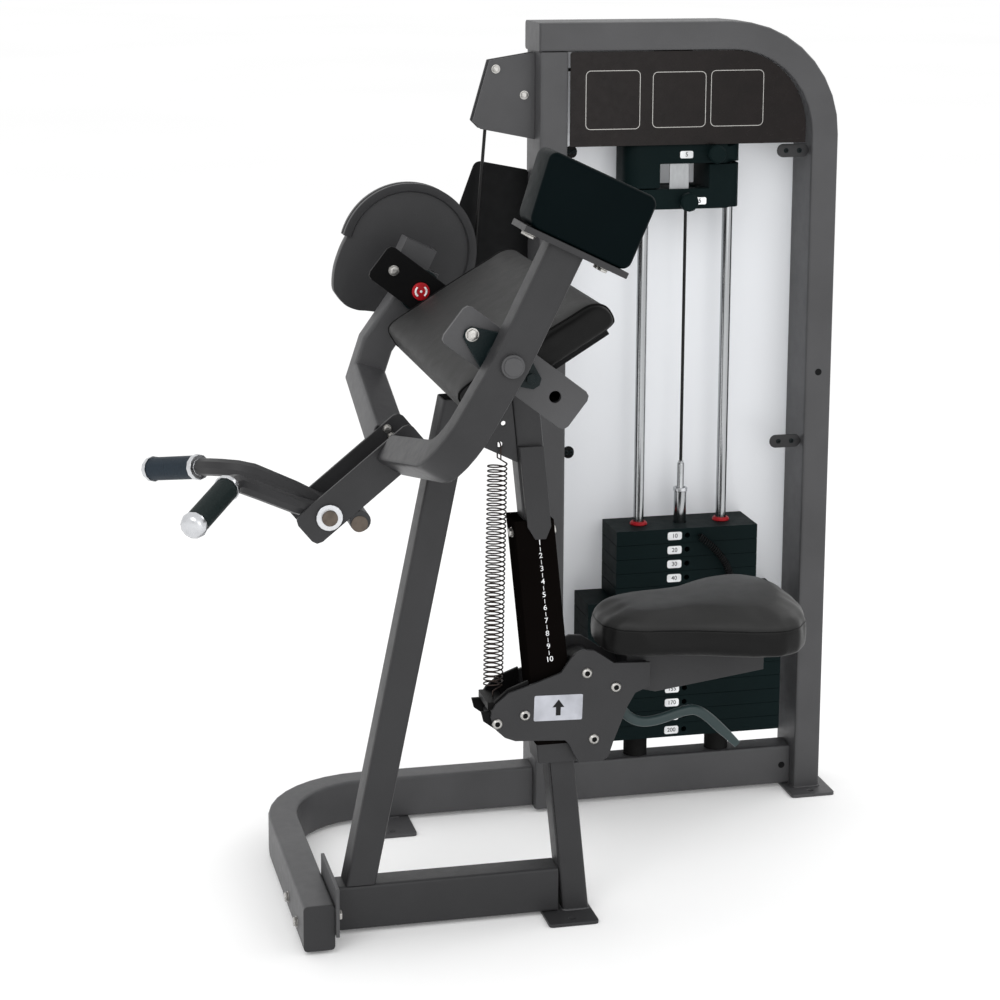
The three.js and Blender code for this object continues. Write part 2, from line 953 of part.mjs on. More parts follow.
function legX(z) {
  return legFootX + (legTopX - legFootX) * (z - baseTop) / (legTopHeight - baseTop);
}

// A leaning tube whose sections stay level
function leaningTube(wide, deep, middleAt, zLow, zHigh) {
  const axisX = new THREE.Vector3(1, 0, 0);
  const axisY = new THREE.Vector3(0, 1, 0);
  function ringsFor(w, d, corner, extra) {
    const loop = loopOf(w, d, corner);
    const heights = [zLow - extra, zHigh + extra];
    return heights.map((z) => placeLoop(loop, new THREE.Vector3(middleAt(z), 0, z), axisX, axisY));
  }
  const outside = skin(ringsFor(wide, deep, tubeCorner, 0));
  const inside = skin(ringsFor(wide - 2 * tubeWall, deep - 2 * tubeWall, tubeCorner - tubeWall, overrun));
  return cut(outside, inside);
}

// A point of the pad's side view, along its slope and square to it
function padPoint(along, up) {
  return new THREE.Vector3(
    padLowX + along * Math.cos(padSlope) - up * Math.sin(padSlope),
    0,
    padLowZ + along * Math.sin(padSlope) + up * Math.cos(padSlope),
  );
}

const pivotPoint = new THREE.Vector3(pivotX, 0, pivotZ);
const crossTubePoint = padPoint(crossTubeRun, -padThick - padBoardThick - tubeHalf);

// Turns a side-view piece by a slope and sets its origin on a point
function onSlope(geometry, slope, point) {
  return geometry.rotateY(-slope).translate(point.x, point.y, point.z);
}

function crossTubeSolid(extra) {
  const block = sideSlab(roundedRect(tubeSide + 2 * extra, tubeSide + 2 * extra, tubeCorner),
    -bearingPlateInner, bearingPlateInner);
  return onSlope(block, padSlope, crossTubePoint);
}

function makeColumn() {
  const tube = leaningTube(columnWide, tubeSide, columnX, footThick / 2, columnTopHeight);
  const plate = footPlate(0, 0, footWide, columnFootLong);
  const face = tubeHalf;
  const half = columnWide / 2 - tubeWall;
  const outline = polygon([
    [columnX(spliceTip) - spliceTipHalf, spliceTip],
    [columnX(spliceTip) + spliceTipHalf, spliceTip],
    [columnX(spliceShoulder) + half, spliceShoulder],
    [columnX(spliceHigh) + half, spliceHigh],
    [columnX(spliceHigh) - half, spliceHigh],
    [columnX(spliceShoulder) - half, spliceShoulder],
  ]);
  const splice = sideSlab(outline, -face - railFrontThick - gap - spliceThick, -face - railFrontThick - gap);
  const spacer = sideSlab(polygon([
    [columnX(railTop + gap) + half, railTop + gap],
    [columnX(spliceHigh) + half, spliceHigh],
    [columnX(spliceHigh) - half, spliceHigh],
    [columnX(railTop + gap) - half, railTop + gap],
  ]), -face - railFrontThick - gap - spliceThick / 2, -face + tubeWall / 2);
  return cut(join(tube, plate, splice, spacer), crossTubeSolid(gap));
}

function makeRail() {
  const axisX = new THREE.Vector3(1, 0, 0);
  const axisY = new THREE.Vector3(0, 1, 0);
  function ringsFor(wide, deep, corner, shift, extra) {
    const loop = loopOf(wide, deep, corner);
    const heights = [railLow - extra, railTop + extra];
    return heights.map((z) => placeLoop(loop, new THREE.Vector3(columnX(z) + shift, 0, z), axisX, axisY));
  }
  const outside = skin(ringsFor(railWide, tubeSide + 2 * railFrontThick, tubeWall, railShift, 0));
  const inside = skin(ringsFor(columnWide + 2 * gap, tubeSide + 2 * gap, tubeWall, 0, overrun));
  const holes = [];
  for (let index = 0; index < indexCount; index += 1) {
    const z = indexHigh - index * indexPitch;
    const face = columnX(z) + railShift + railWide / 2;
    holes.push(bar(indexHoleRadius, [face - tubeCorner, 0, z], [face + overrun, 0, z], 8));
  }
  return cut(outside, inside, ...holes);
}

function makeLeg() {
  return leaningTube(tubeSide, tubeSide, legX, baseTop, legTopHeight);
}

function makeWeb() {
  const legSide = tubeHalf + gap;
  const columnSide = columnWide / 2 + gap;
  const topRight = columnTopHeight - webInset;
  const shape = polygon([
    [columnX(webLow) - columnSide, webLow],
    [columnX(topRight) - columnSide, topRight],
    [legX(legTopHeight) + legSide, legTopHeight],
    [legX(webLow + webRise) + legSide, webLow + webRise],
  ]);
  for (const hole of [hookHole, spareHole]) {
    shape.holes.push(circle(hole.radius, hole.x, hole.z));
  }
  return cut(sideSlab(shape, -tubeHalf, webThick - tubeHalf, 4), crossTubeSolid(gap));
}

const seatFrame = new THREE.Group();
machine.add(seatFrame);
add(seatFrame, 'seat_frame_base_tube', 'frame',
  endSlab(tubeSection(tubeSide, baseTubeTall), seatBaseLeft, columnX(baseTop) - columnWide / 2 - gap)
    .translate(0, 0, footThick + baseTubeTall / 2));
add(seatFrame, 'base_joint_bracket', 'frame',
  endSlab(polygon([
    [bracketNearY, bracketLow],
    [bracketFarY, bracketLow],
    [bracketFarY, bracketHigh],
    [bracketNearY, bracketHigh],
  ]), curveInnerFace + gap, seatBaseLeft - gap));
add(seatFrame, 'front_leg', 'frame', makeLeg());
add(seatFrame, 'seat_column', 'frame', makeColumn());
add(seatFrame, 'seat_index_rail', 'black', makeRail());
add(seatFrame, 'head_web_plate', 'frame', makeWeb());

// Head: cross tube, bearing plates, flange bearings and the arm pad

const head = new THREE.Group();
machine.add(head);
const crossTube = sideSlab(tubeSection(tubeSide, tubeSide), -bearingPlateInner, bearingPlateInner);
add(head, 'pad_cross_tube', 'frame', onSlope(crossTube, padSlope, crossTubePoint));

function bearingPlate(side) {
  const long = bearingPlateLeft + bearingPlateRight;
  const shift = (bearingPlateRight - bearingPlateLeft) / 2;
  const yLow = side < 0 ? -bearingPlateInner - bearingPlateThick : bearingPlateInner;
  const yHigh = yLow + bearingPlateThick;
  const plate = sideSlab(roundedRect(long, bearingPlateWide, bearingPlateCorner), yLow, yHigh);
  plate.translate(shift, 0, 0);
  const bores = [[0, shaftRadius + shaftClearance], [bearingHoleReach, bearingHoleRadius]];
  const holes = bores.map(([x, radius]) => (
    bar(radius, [x, yLow - overrun, 0], [x, yHigh + overrun, 0], 20)));
  return onSlope(cut(plate, ...holes), headTilt, pivotPoint);
}

function flangeBearing(side) {
  const shape = new THREE.Shape();
  const ear = bearingEarRadius;
  const reach = bearingBoltReach - ear;
  const swing = Math.PI / 3;
  shape.moveTo(reach, -ear);
  shape.absarc(reach, 0, ear, -Math.PI / 2, Math.PI / 2);
  shape.absarc(0, 0, bearingBodyRadius, swing, Math.PI - swing);
  shape.lineTo(-reach, ear);
  shape.absarc(-reach, 0, ear, Math.PI / 2, Math.PI * 1.5);
  shape.absarc(0, 0, bearingBodyRadius, Math.PI + swing, Math.PI * 2 - swing);
  const faceY = side * (bearingPlateInner + bearingPlateThick);
  const flangeY = faceY + side * bearingFlangeThick;
  const flange = sideSlab(shape, Math.min(faceY, flangeY), Math.max(faceY, flangeY), 2);
  const boss = bar(bearingBossRadius, [0, faceY, 0], [0, faceY + side * bearingBossLong, 0], 20);
  const bore = bar(shaftRadius + shaftClearance, [0, faceY - side * overrun, 0],
    [0, faceY + side * (bearingBossLong + overrun), 0], 20);
  return onSlope(cut(join(flange, boss), bore), headTilt, pivotPoint);
}

add(head, 'bearing_plate_near', 'frame', bearingPlate(-1));
add(head, 'bearing_plate_far', 'black', bearingPlate(1));
add(head, 'flange_bearing_near', 'black', flangeBearing(-1));
add(head, 'flange_bearing_far', 'black', flangeBearing(1));

// A cushion section along its own slope, rounded more at its upper end
function padLoop(inset, crown) {
  const low = inset;
  const run = padRun - inset;
  const top = -inset;
  const bottom = inset - padThick;
  const corners = [
    [run - padNose, bottom + padNose, padNose, -Math.PI / 2],
    [run - padTopRound, top - padTopRound, padTopRound, 0],
    [low + padEdge, top - padEdge, padEdge, Math.PI / 2],
    [low + padEdge, bottom + padEdge, padEdge, Math.PI],
  ];
  const points = [];
  const steps = 4;
  corners.forEach(([x, y, radius, start], index) => {
    for (let step = 0; step <= steps; step += 1) {
      const turn = start + Math.PI / 2 * step / steps;
      points.push(new THREE.Vector2(x + radius * Math.cos(turn), y + radius * Math.sin(turn)));
    }
    if (index === 1) {
      const crownSteps = 4;
      for (let step = 1; step < crownSteps; step += 1) {
        const share = step / crownSteps;
        const x2 = THREE.MathUtils.lerp(run - padTopRound, low + padEdge, share);
        points.push(new THREE.Vector2(x2, top + crown * Math.sin(Math.PI * share)));
      }
    }
  });
  return points;
}

function makeArmPad() {
  const along = new THREE.Vector3(Math.cos(padSlope), 0, Math.sin(padSlope));
  const up = new THREE.Vector3(-Math.sin(padSlope), 0, Math.cos(padSlope));
  const profileShares = [
    [-1, 1, 0],
    [-0.985, 0.3, 0.2],
    [-0.96, 0, 0.45],
    [-0.7, 0, 0.85],
    [-0.35, 0, 1],
    [0, 0, 1],
    [0.35, 0, 1],
    [0.7, 0, 0.85],
    [0.96, 0, 0.45],
    [0.985, 0.3, 0.2],
    [1, 1, 0],
  ];
  const rings = profileShares.map(([share, inset, crown]) => {
    const origin = new THREE.Vector3(padLowX, share * padHalfLong, padLowZ);
    return placeLoop(padLoop(inset * padEndRound, crown * padCrown), origin, along, up);
  });
  return skin(rings.map((ring) => ring.slice().reverse()));
}

function makePadBoard() {
  const low = -padThick - padBoardThick;
  const shape = box(padBoardInset, padRun - padBoardInset, low, -padThick - gap / 6);
  const board = sideSlab(shape, padBoardInset - padHalfLong, padHalfLong - padBoardInset);
  return onSlope(board, padSlope, new THREE.Vector3(padLowX, 0, padLowZ));
}

add(head, 'arm_pad', 'vinyl', makeArmPad());
add(head, 'pad_board', 'black', makePadBoard());

// Sweeps a section along a path, each ring set in the bisecting plane of its corner
function sweep(loop, path, sideHint, extra = 0, endNormal = null) {
  const points = path.map((point) => new THREE.Vector3(...point));
  const first = points[1].clone().sub(points[0]).normalize();
  const lastIndex = points.length - 1;
  const final = points[lastIndex].clone().sub(points[lastIndex - 1]).normalize();
  points[0].addScaledVector(first, -extra);
  points[lastIndex].addScaledVector(final, extra);
  let along = first.clone();
  let axisX = new THREE.Vector3(...sideHint);
  axisX.addScaledVector(along, -axisX.dot(along)).normalize();
  const rings = [];
  for (let index = 0; index <= lastIndex; index += 1) {
    const ahead = index < lastIndex ? points[index + 1].clone().sub(points[index]) : along.clone();
    const next = ahead.normalize();
    const axisY = along.clone().cross(axisX);
    let normal = along.clone().add(next).normalize();
    if (index === lastIndex && endNormal) {
      normal = new THREE.Vector3(...endNormal);
    }
    const ring = loop.map((point) => {
      const offset = axisX.clone().multiplyScalar(point.x).addScaledVector(axisY, point.y);
      const slide = offset.dot(normal) / along.dot(normal);
      return points[index].clone().add(offset).addScaledVector(along, -slide);
    });
    rings.push(ring);
    const turn = new THREE.Quaternion().setFromUnitVectors(along, next);
    axisX = axisX.clone().applyQuaternion(turn);
    along = next;
  }
  return skin(rings);
}

function roundLoop(radius, sides) {
  const points = [];
  for (let side = 0; side < sides; side += 1) {
    const turn = Math.PI * 2 * side / sides;
    points.push(new THREE.Vector2(radius * Math.cos(turn), radius * Math.sin(turn)));
  }
  return points;
}

// Replaces each inner corner of a path by an arc
function roundPath(path, radius, steps) {
  const points = path.map((point) => new THREE.Vector3(...point));
  const result = [points[0]];
  for (let index = 1; index + 1 < points.length; index += 1) {
    const before = points[index - 1].clone().sub(points[index]).normalize();
    const after = points[index + 1].clone().sub(points[index]).normalize();
    const half = before.angleTo(after) / 2;
    const reach = radius / Math.tan(half);
    const bisector = before.clone().add(after).normalize();
    const centre = points[index].clone().addScaledVector(bisector, radius / Math.sin(half));
    const start = points[index].clone().addScaledVector(before, reach).sub(centre);
    const end = points[index].clone().addScaledVector(after, reach).sub(centre);
    const whole = start.angleTo(end);
    for (let step = 0; step <= steps; step += 1) {
      const share = step / steps;
      const arm = start.clone().multiplyScalar(Math.sin((1 - share) * whole) / Math.sin(whole));
      arm.addScaledVector(end, Math.sin(share * whole) / Math.sin(whole));
      result.push(centre.clone().add(arm));
    }
  }
  result.push(points[points.length - 1]);
  return result.map((point) => point.toArray());
}

// Arms: near and far tubes, carrier channel, counterweight, cam and shafts

const arms = new THREE.Group();
arms.name = 'lifting_arms';
machine.add(arms);

const armHint = [Math.cos(armTilt), 0, -Math.sin(armTilt)];
const armUp = new THREE.Vector3(Math.sin(armTilt), 0, Math.cos(armTilt));

function armTube(path, endNormal) {
  const outside = sweep(loopOf(armWide, armDeep, armCorner), path, armHint, 0, endNormal);
  const inner = loopOf(armWide - 2 * tubeWall, armDeep - 2 * tubeWall, armCorner - tubeWall);
  return cut(outside, sweep(inner, path, armHint, overrun, endNormal));
}

function armTop(distance, y) {
  return [pivotX + armUp.x * distance, y, pivotZ + armUp.z * distance];
}

function alongArm([x, z], y) {
  return [pivotX + x * armLead, y, pivotZ + z * armDrop];
}

const nearBends = nearArmShares.map((share) => alongArm(share, -armMidY));
const nearLower = [...nearBends, [carrierJoinX, -carrierHalf - gap, carrierJoinZ]];
const nearArmPath = [
  armTop(nearArmTop, -armMidY),
  [pivotX, -armMidY, pivotZ],
  nearBends[0],
  ...roundPath(nearLower, armBendRadius, 5).slice(1),
];
const farArmPath = [
  ...farArmShares.map((share) => alongArm(share, armMidY)),
  [carrierJoinX, carrierHalf + gap, carrierJoinZ],
];

function onPivot(radius, yStart, yEnd) {
  return bar(radius, [pivotX, yStart, pivotZ], [pivotX, yEnd, pivotZ], 20);
}

function makeNearArm() {
  const face = -armInner - armDeep;
  const boss = onPivot(armBossRadius, face - armBossProud, face + tubeWall / 2);
  const shaft = onPivot(shaftRadius, -shaftInnerY, -armInner - tubeWall / 2);
  return join(armTube(nearArmPath, [0, 1, 0]), boss, shaft, makeWeightPlate());
}

function makeFarArm() {
  const face = armInner + armDeep;
  const shaft = onPivot(shaftRadius, shaftInnerY, armInner + tubeWall / 2);
  const hub = onPivot(bearingBossRadius, face - tubeWall / 2, camNearY);
  return join(armTube(farArmPath, [0, -1, 0]), shaft, hub);
}

function onArm(geometry, y) {
  const turn = new THREE.Matrix4().makeBasis(
    new THREE.Vector3(...armHint),
    new THREE.Vector3(0, 1, 0),
    armUp,
  );
  turn.setPosition(pivotX, y, pivotZ);
  return geometry.applyMatrix4(turn);
}

function makeWeightPlate() {
  const left = counterweightShift - counterweightLong / 2;
  const shape = box(left, left + counterweightLong, nearArmTop - gap, nearArmTop + weightPlateThick);
  const plate = sideSlab(shape, -counterweightDeep / 2, counterweightDeep / 2);
  return onArm(plate, -armMidY);
}

function makeCounterweight() {
  const edge = counterweightEdge;
  const loop = loopOf(counterweightLong, counterweightTall, counterweightCorner);
  const innerLong = counterweightLong - 2 * edge;
  const innerTall = counterweightTall - 2 * edge;
  const inner = loopOf(innerLong, innerTall, counterweightCorner - edge);
  const middle = nearArmTop + weightPlateThick + counterweightTall / 2;
  const half = counterweightDeep / 2;
  const layers = [[inner, -half], [loop, edge - half], [loop, half - edge], [inner, half]];
  const axisX = new THREE.Vector3(1, 0, 0);
  const axisZ = new THREE.Vector3(0, 0, 1);
  const rings = layers.map(([points, y]) => (
    placeLoop(points, new THREE.Vector3(counterweightShift, y, middle), axisX, axisZ)));
  return onArm(skin(rings.map((ring) => ring.slice().reverse())), -armMidY);
}

add(arms, 'near_arm', 'frame', makeNearArm());
add(arms, 'counterweight', 'dark', makeCounterweight());

// The carrier is drawn level and then turned about the point where the arms join it
function onCarrier(geometry) {
  return onSlope(geometry, carrierAngle, new THREE.Vector3(carrierJoinX, 0, carrierJoinZ));
}

function onPinLine(radius, yStart, yEnd, sides) {
  const start = [-carrierPinReach, yStart, -carrierPinDrop];
  const end = [-carrierPinReach, yEnd, -carrierPinDrop];
  return bar(radius, start, end, sides);
}

function roundBar() {
  const z = handleTubeSink - carrierFloorDrop - handleTubeRadius;
  const reach = carrierHalf - handleTubeSink;
  return bar(handleTubeRadius, [-handleTubeReach, -reach, z], [-handleTubeReach, reach, z], 20);
}

function makeCarrier() {
  const side = roundedRect(carrierBehind + carrierAhead, carrierTall, carrierCorner);
  const whole = sideSlab(side, -carrierHalf, carrierHalf);
  whole.translate((carrierBehind - carrierAhead) / 2, 0, carrierTall / 2 - carrierFloorDrop);
  const half = carrierHalf - carrierPlateThick;
  const front = -carrierAhead - overrun;
  const back = carrierBehind + overrun;
  const top = carrierTall - carrierFloorDrop;
  const floor = carrierPlateThick - carrierFloorDrop;
  const inside = sideSlab(box(front, back, floor, top + overrun), -half, half);
  const openEnd = carrierOpenEnd - carrierPinReach;
  const floorCut = sideSlab(box(front, openEnd, -carrierFloorDrop - overrun, top), -half, half);
  const bore = onPinLine(handlePinRadius + gap, -carrierHalf - overrun, carrierHalf + overrun, 20);
  return onCarrier(cut(join(cut(whole, inside, floorCut), roundBar()), bore));
}

function makeHandlePin() {
  const tip = carrierHalf + washerThick + handlePinRadius / 2;
  const face = carrierHalf + gap;
  const washers = [-1, 1].map((side) => (
    onPinLine(washerRadius, side * face, side * (face + washerThick), 18)));
  return onCarrier(join(onPinLine(handlePinRadius, -tip, tip, 16), ...washers));
}

add(arms, 'handle_carrier', 'black', makeCarrier());
add(arms, 'handle_pin', 'alloy', makeHandlePin());

// Cam with a grooved rim, its hub and the length of cable laid in the rim

function camPoint(radius, turn) {
  return [camMidX + radius * Math.cos(turn), camMidZ + radius * Math.sin(turn)];
}

function camArc(radius, from, to, steps) {
  const points = [];
  for (let step = 0; step <= steps; step += 1) {
    points.push(camPoint(radius, THREE.MathUtils.lerp(from, to, step / steps)));
  }
  return points;
}

function camShare([x, z]) {
  return [camMidX + x * camRadius, camMidZ + z * camRadius];
}

function makeCam() {
  const rim = camArc(camRadius + camRimDepth, camStart, camEnd, 18);
  const tail = camTailShares.map(camShare);
  const body = sideSlab(polygon([...rim, ...tail].reverse()), camNearY, camFarY);
  const line = camArc(camRadius + cableRadius, camStart + camMargin, camEnd - camMargin, 18);
  const groove = sweep(roundLoop(cableRadius + 3 * gap, 6), line.map(([x, z]) => [x, cableY, z]), [0, 1, 0]);
  const cheek = camArc(camCheekRadius, camStart - camMargin, camEnd + 4 * camMargin, 12);
  const outline = polygon([...cheek, ...camPocketShares.map(camShare)].reverse());
  return cut(body, groove, sideSlab(outline, camNearY - overrun, camNearY + overrun));
}

const camToPulley = new THREE.Vector2(sidePulley.x - camMidX, sidePulley.z - camMidZ);
const cableLean = Math.asin((camRadius + cableRadius + sidePulley.radius) / camToPulley.length());
const cableTouch = camToPulley.angle() + cableLean - Math.PI / 2;
const cableAnchor = camEnd + camMargin / 2;
add(arms, 'cam', 'frame', makeCam());
add(arms, 'far_arm', 'frame', makeFarArm());
add(arms, 'cable_on_cam', 'black',
  sweep(roundLoop(cableRadius, 8),
    camArc(camRadius + cableRadius, cableAnchor, cableTouch, 5).map(([x, z]) => [x, cableY, z]), [0, 1, 0]));

// Pulleys with their brackets, and the cable over them

function wheel(radius, wide, bore) {
  const half = wide / 2;
  const grooveHalf = cableRadius + 2 * gap;
  const floor = radius - cableRadius - 2 * gap;
  const rim = radius + pulleyLip;
  const profile = [
    [bore, -half],
    [rim, -half],
    [rim, -grooveHalf],
    [floor, -grooveHalf],
    [floor, grooveHalf],
    [rim, grooveHalf],
    [rim, half],
    [bore, half],
    [bore, -half],
  ];
  return new THREE.LatheGeometry(profile.map(([x, y]) => new THREE.Vector2(x, y)), 20);
}

function guardPair(outline, axle, ties) {
  const plates = [-1, 1].map((side) => {
    const near = cableY + side * guardInner;
    const far = near + side * guardThick;
    return sideSlab(polygon(outline), Math.min(near, far), Math.max(near, far));
  });
  const reach = guardInner + guardThick / 2;
  const bars = [axle, ...ties].map(({ x, z, radius }) => (
    bar(radius, [x, cableY - reach, z], [x, cableY + reach, z], 14)));
  return join(...plates, ...bars);
}

const pulleys = new THREE.Group();
machine.add(pulleys);

function sideGuardPoint([x, z]) {
  return [towerLeft - x * sideGuardReach, sidePulley.z - sideGuardDrop + z * sideGuardTall];
}

const [sideTieX, sideTieZ] = sideGuardPoint(sideTieShares);
const sideTie = { x: sideTieX, z: sideTieZ, radius: tieBarRadius };
const sideAxle = { ...sidePulley, radius: axleRadius };
add(pulleys, 'side_pulley_bracket', 'frame',
  guardPair(sideGuardShares.map(sideGuardPoint), sideAxle, [sideTie]));
const topLeft = topPulley.x - topGuardLeft;
const topRight = topPulley.x + topGuardRight;
const topTie = { x: topPulley.x + topTieReach, z: topPulley.z + topTieRise, radius: tieBarRadius };
add(pulleys, 'top_pulley_bracket', 'frame', guardPair([
  [topLeft, rodTop + rodHolderThick],
  [topRight, rodTop + rodHolderThick],
  [topRight, towerUnderside - topGuardSlopeTall],
  [topRight - topGuardSlopeWide, towerUnderside],
  [topLeft, towerUnderside],
], { ...topPulley, radius: axleRadius }, [topTie]));

function makeRodHolder() {
  const shape = roundedRect(rodSpacing + 2 * rodHolderLap, rodHolderDeep, tubeCorner);
  const slab = planSlab(shape, rodTop, rodTop + rodHolderThick).translate(stackMidX, towerMidY, 0);
  const low = [stackMidX, towerMidY, rodTop - overrun];
  const high = [stackMidX, towerMidY, rodTop + rodHolderThick + overrun];
  return cut(slab, bar(stemHoleRadius, low, high, 14));
}

add(pulleys, 'rod_holder', 'frame', makeRodHolder());

function pulleyNode(name, pulley) {
  const geometry = toGeometry(toSolid(wheel(pulley.radius, pulleyWide, pulleyBore)));
  add(pulleys, name, 'black', geometry.translate(pulley.x, cableY, pulley.z));
}

pulleyNode('side_pulley', sidePulley);
pulleyNode('top_pulley', topPulley);

function arcOver(pulley, from, to, steps) {
  const points = [];
  for (let step = 0; step <= steps; step += 1) {
    const turn = THREE.MathUtils.lerp(from, to, step / steps);
    const x = pulley.x + pulley.radius * Math.cos(turn);
    points.push([x, cableY, pulley.z + pulley.radius * Math.sin(turn)]);
  }
  return points;
}

add(pulleys, 'cable_top_run', 'black', sweep(roundLoop(cableRadius, 8), [
  ...arcOver(sidePulley, Math.PI + cableTouch, Math.PI / 2, 7),
  ...arcOver(topPulley, Math.PI / 2, 0, 7),
], [0, 1, 0]));

const camTouchPoint = camPoint(camRadius + cableRadius, cableTouch);
const pulleyTouchPoint = [
  sidePulley.x - sidePulley.radius * Math.cos(cableTouch),
  sidePulley.z - sidePulley.radius * Math.sin(cableTouch),
];
const runStart = new THREE.Vector3(camTouchPoint[0], cableY, camTouchPoint[1]);
const runEnd = new THREE.Vector3(pulleyTouchPoint[0], cableY, pulleyTouchPoint[1]);
const runAlong = runEnd.clone().sub(runStart).normalize();
add(pulleys, 'cable_cam_run', 'black', bar(cableRadius,
  runStart.clone().addScaledVector(runAlong, gap).toArray(),
  runEnd.clone().addScaledVector(runAlong, -gap).toArray(), 8));

// Weight stack

const stack = new THREE.Group();
machine.add(stack);

function plateLow(fromTop) {
  return stackFloor + (plateCount - fromTop) * platePitch;
}

// A run of plates as one body, with a shallow groove at every joint
function plateBlock(first, last) {
  const groove = plateGroove;
  const low = plateLow(last);
  const high = plateLow(first) + plateTall;
  const coreWide = (last > narrowCount + 2 ? wideWide : narrowWide) - 2 * groove;
  const core = planSlab(rectangle(coreWide, plateDeep - 2 * groove), low, high);
  const plates = [];
  const holes = [];
  for (let index = first; index <= last; index += 1) {
    const base = plateLow(index);
    const wide = index > narrowCount ? wideWide : narrowWide;
    const slack = index === first ? platePitch - plateTall : platePitch - plateTall + plateEdge / 2;
    plates.push(planSlab(rectangle(wide, plateDeep), base, base + platePitch - slack));
    const z = base + plateTall / 2;
    holes.push(bar(pinHoleRadius, [0, -plateDeep / 2 - overrun, z], [0, 0, z], 8));
  }
  const rods = [-1, 1].map((side) => bar(rodHoleRadius,
    [side * rodSpacing / 2, 0, low - overrun], [side * rodSpacing / 2, 0, high + overrun], 12));
  const stemHole = bar(stemHoleRadius, [0, 0, low - overrun], [0, 0, high + overrun], 16);
  return cut(join(core, ...plates), ...holes, ...rods, stemHole).translate(stackMidX, towerMidY, 0);
}

for (const [name, side] of [['guide_rod_left', -1], ['guide_rod_right', 1]]) {
  const x = stackMidX + side * rodSpacing / 2;
  add(stack, name, 'chrome', bar(rodRadius, [x, towerMidY, baseTop], [x, towerMidY, rodTop], 16));
}
for (const [name, side] of [['stack_bumper_left', -1], ['stack_bumper_right', 1]]) {
  const x = stackMidX + side * rodSpacing / 2;
  add(stack, name, 'rubber', cut(
    bar(bumperRadius, [x, towerMidY, baseTop], [x, towerMidY, stackFloor], 22),
    bar(rodRadius + gap, [x, towerMidY, baseTop - overrun], [x, towerMidY, stackFloor + overrun], 18)));
}
add(stack, 'resting_plates', 'dark', plateBlock(pinPlate + 1, plateCount));
add(stack, 'lifted_plates', 'dark', plateBlock(1, pinPlate));

function makeStem() {
  const profile = [
    [0, stackFloor + stemFoot],
    [stemRadius, stackFloor + stemFoot],
    [stemRadius, stackTop],
    [stemHeadRadius, stackTop],
    [stemHeadRadius, stackTop + stemHeadTall],
    [stemRadius, stackTop + stemHeadTall + stemHeadSlope],
    [stemRadius, stemCollarLow],
    [stemHeadRadius, stemCollarLow],
    [stemHeadRadius, stemNeckLow],
    [stemNeckRadius, stemNeckLow + stemNeckEdge],
    [stemNeckRadius, stemNeckLow + stemNeckTall],
    [cableRadius + stemTipWall, stemTip],
    [0, stemTip],
  ];
  const body = new THREE.LatheGeometry(profile.map(([x, y]) => new THREE.Vector2(x, y)), 18);
  body.rotateX(Math.PI / 2);
  const bore = bar(pinHoleRadius, [0, -stemRadius - overrun, pinZ], [0, stemRadius + overrun, pinZ], 10);
  return cut(toGeometry(toSolid(body)), bore).translate(stackMidX, towerMidY, 0);
}

function makePin() {
  const neck = pinKnobLong + pinKnobEdge;
  const profile = [
    [0, 0],
    [pinKnobRadius - pinKnobEdge, 0],
    [pinKnobRadius, pinKnobEdge],
    [pinKnobRadius, pinKnobLong - pinCollar],
    [pinRadius + pinCollar, pinKnobLong],
    [pinRadius + pinCollar, neck],
    [pinRadius, neck],
    [pinRadius, neck + pinLong - pinKnobEdge],
    [0, neck + pinLong],
  ];
  const body = new THREE.LatheGeometry(profile.map(([x, y]) => new THREE.Vector2(x, y)), 16);
  return toGeometry(toSolid(body)).translate(stackMidX, stackFront - neck - gap, pinZ);
}

add(stack, 'selector_stem', 'chrome', makeStem());
add(stack, 'selector_pin', 'black', makePin());
add(stack, 'cable_stack_run', 'black',
  bar(cableRadius, [stackMidX, cableY, stemTip + gap], [stackMidX, cableY, topPulley.z - gap], 8));

// Add-on weights on the same rods, hung from a strap

function knob(x, z) {
  const profile = knobShares.map(([out, along]) => new THREE.Vector2(out * knobRadius, along * knobLong));
  const body = toGeometry(toSolid(new THREE.LatheGeometry(profile, 12)));
  return body.translate(x, addOnNear - knobLong + knobSink, z);
}

function addOn(outline, knobX, knobZ) {
  const body = sideSlab(polygon(outline), addOnNear, addOnNear + addOnDeep);
  const low = addOnLow - overrun;
  const high = addOnTop + overrun;
  const tools = [-1, 1].map((side) => {
    const x = stackMidX + side * rodSpacing / 2;
    return bar(rodHoleRadius, [x, towerMidY, low], [x, towerMidY, high], 18);
  });
  tools.push(bar(addOnBoreRadius, [stackMidX, towerMidY, low], [stackMidX, towerMidY, high], 22));
  const slot = box(strapLeft - gap, strapRight + gap, strapNear - gap, strapNear + sheetThick + gap);
  tools.push(planSlab(slot, low, high));
  return join(cut(body, ...tools), knob(knobX, knobZ));
}

const addOnUpperLow = addOnTop - addOnUpperTall;
const addOnLowerTop = addOnLow + addOnLowerTall;
add(stack, 'add_on_weight_upper', 'dark', addOn([
  [addOnLeft, addOnUpperLow],
  [addOnLeft + addOnShoulder, addOnUpperLow],
  [addOnLeft + addOnShoulder, addOnTop - addOnUpperStep],
  [addOnRight, addOnTop - addOnUpperStep],
  [addOnRight, addOnTop],
  [addOnLeft, addOnTop],
], stackMidX + knobUpperReach, addOnTop - knobUpperDrop));
add(stack, 'add_on_weight_lower', 'dark', addOn([
  [addOnLeft, addOnLow],
  [addOnRight, addOnLow],
  [addOnRight, addOnLowerTop],
  [addOnRight - addOnShoulder, addOnLowerTop],
  [addOnRight - addOnShoulder, addOnLow + addOnLowerStep],
  [addOnLeft, addOnLow + addOnLowerStep],
], stackMidX - knobLowerReach, addOnLow + knobLowerRise));
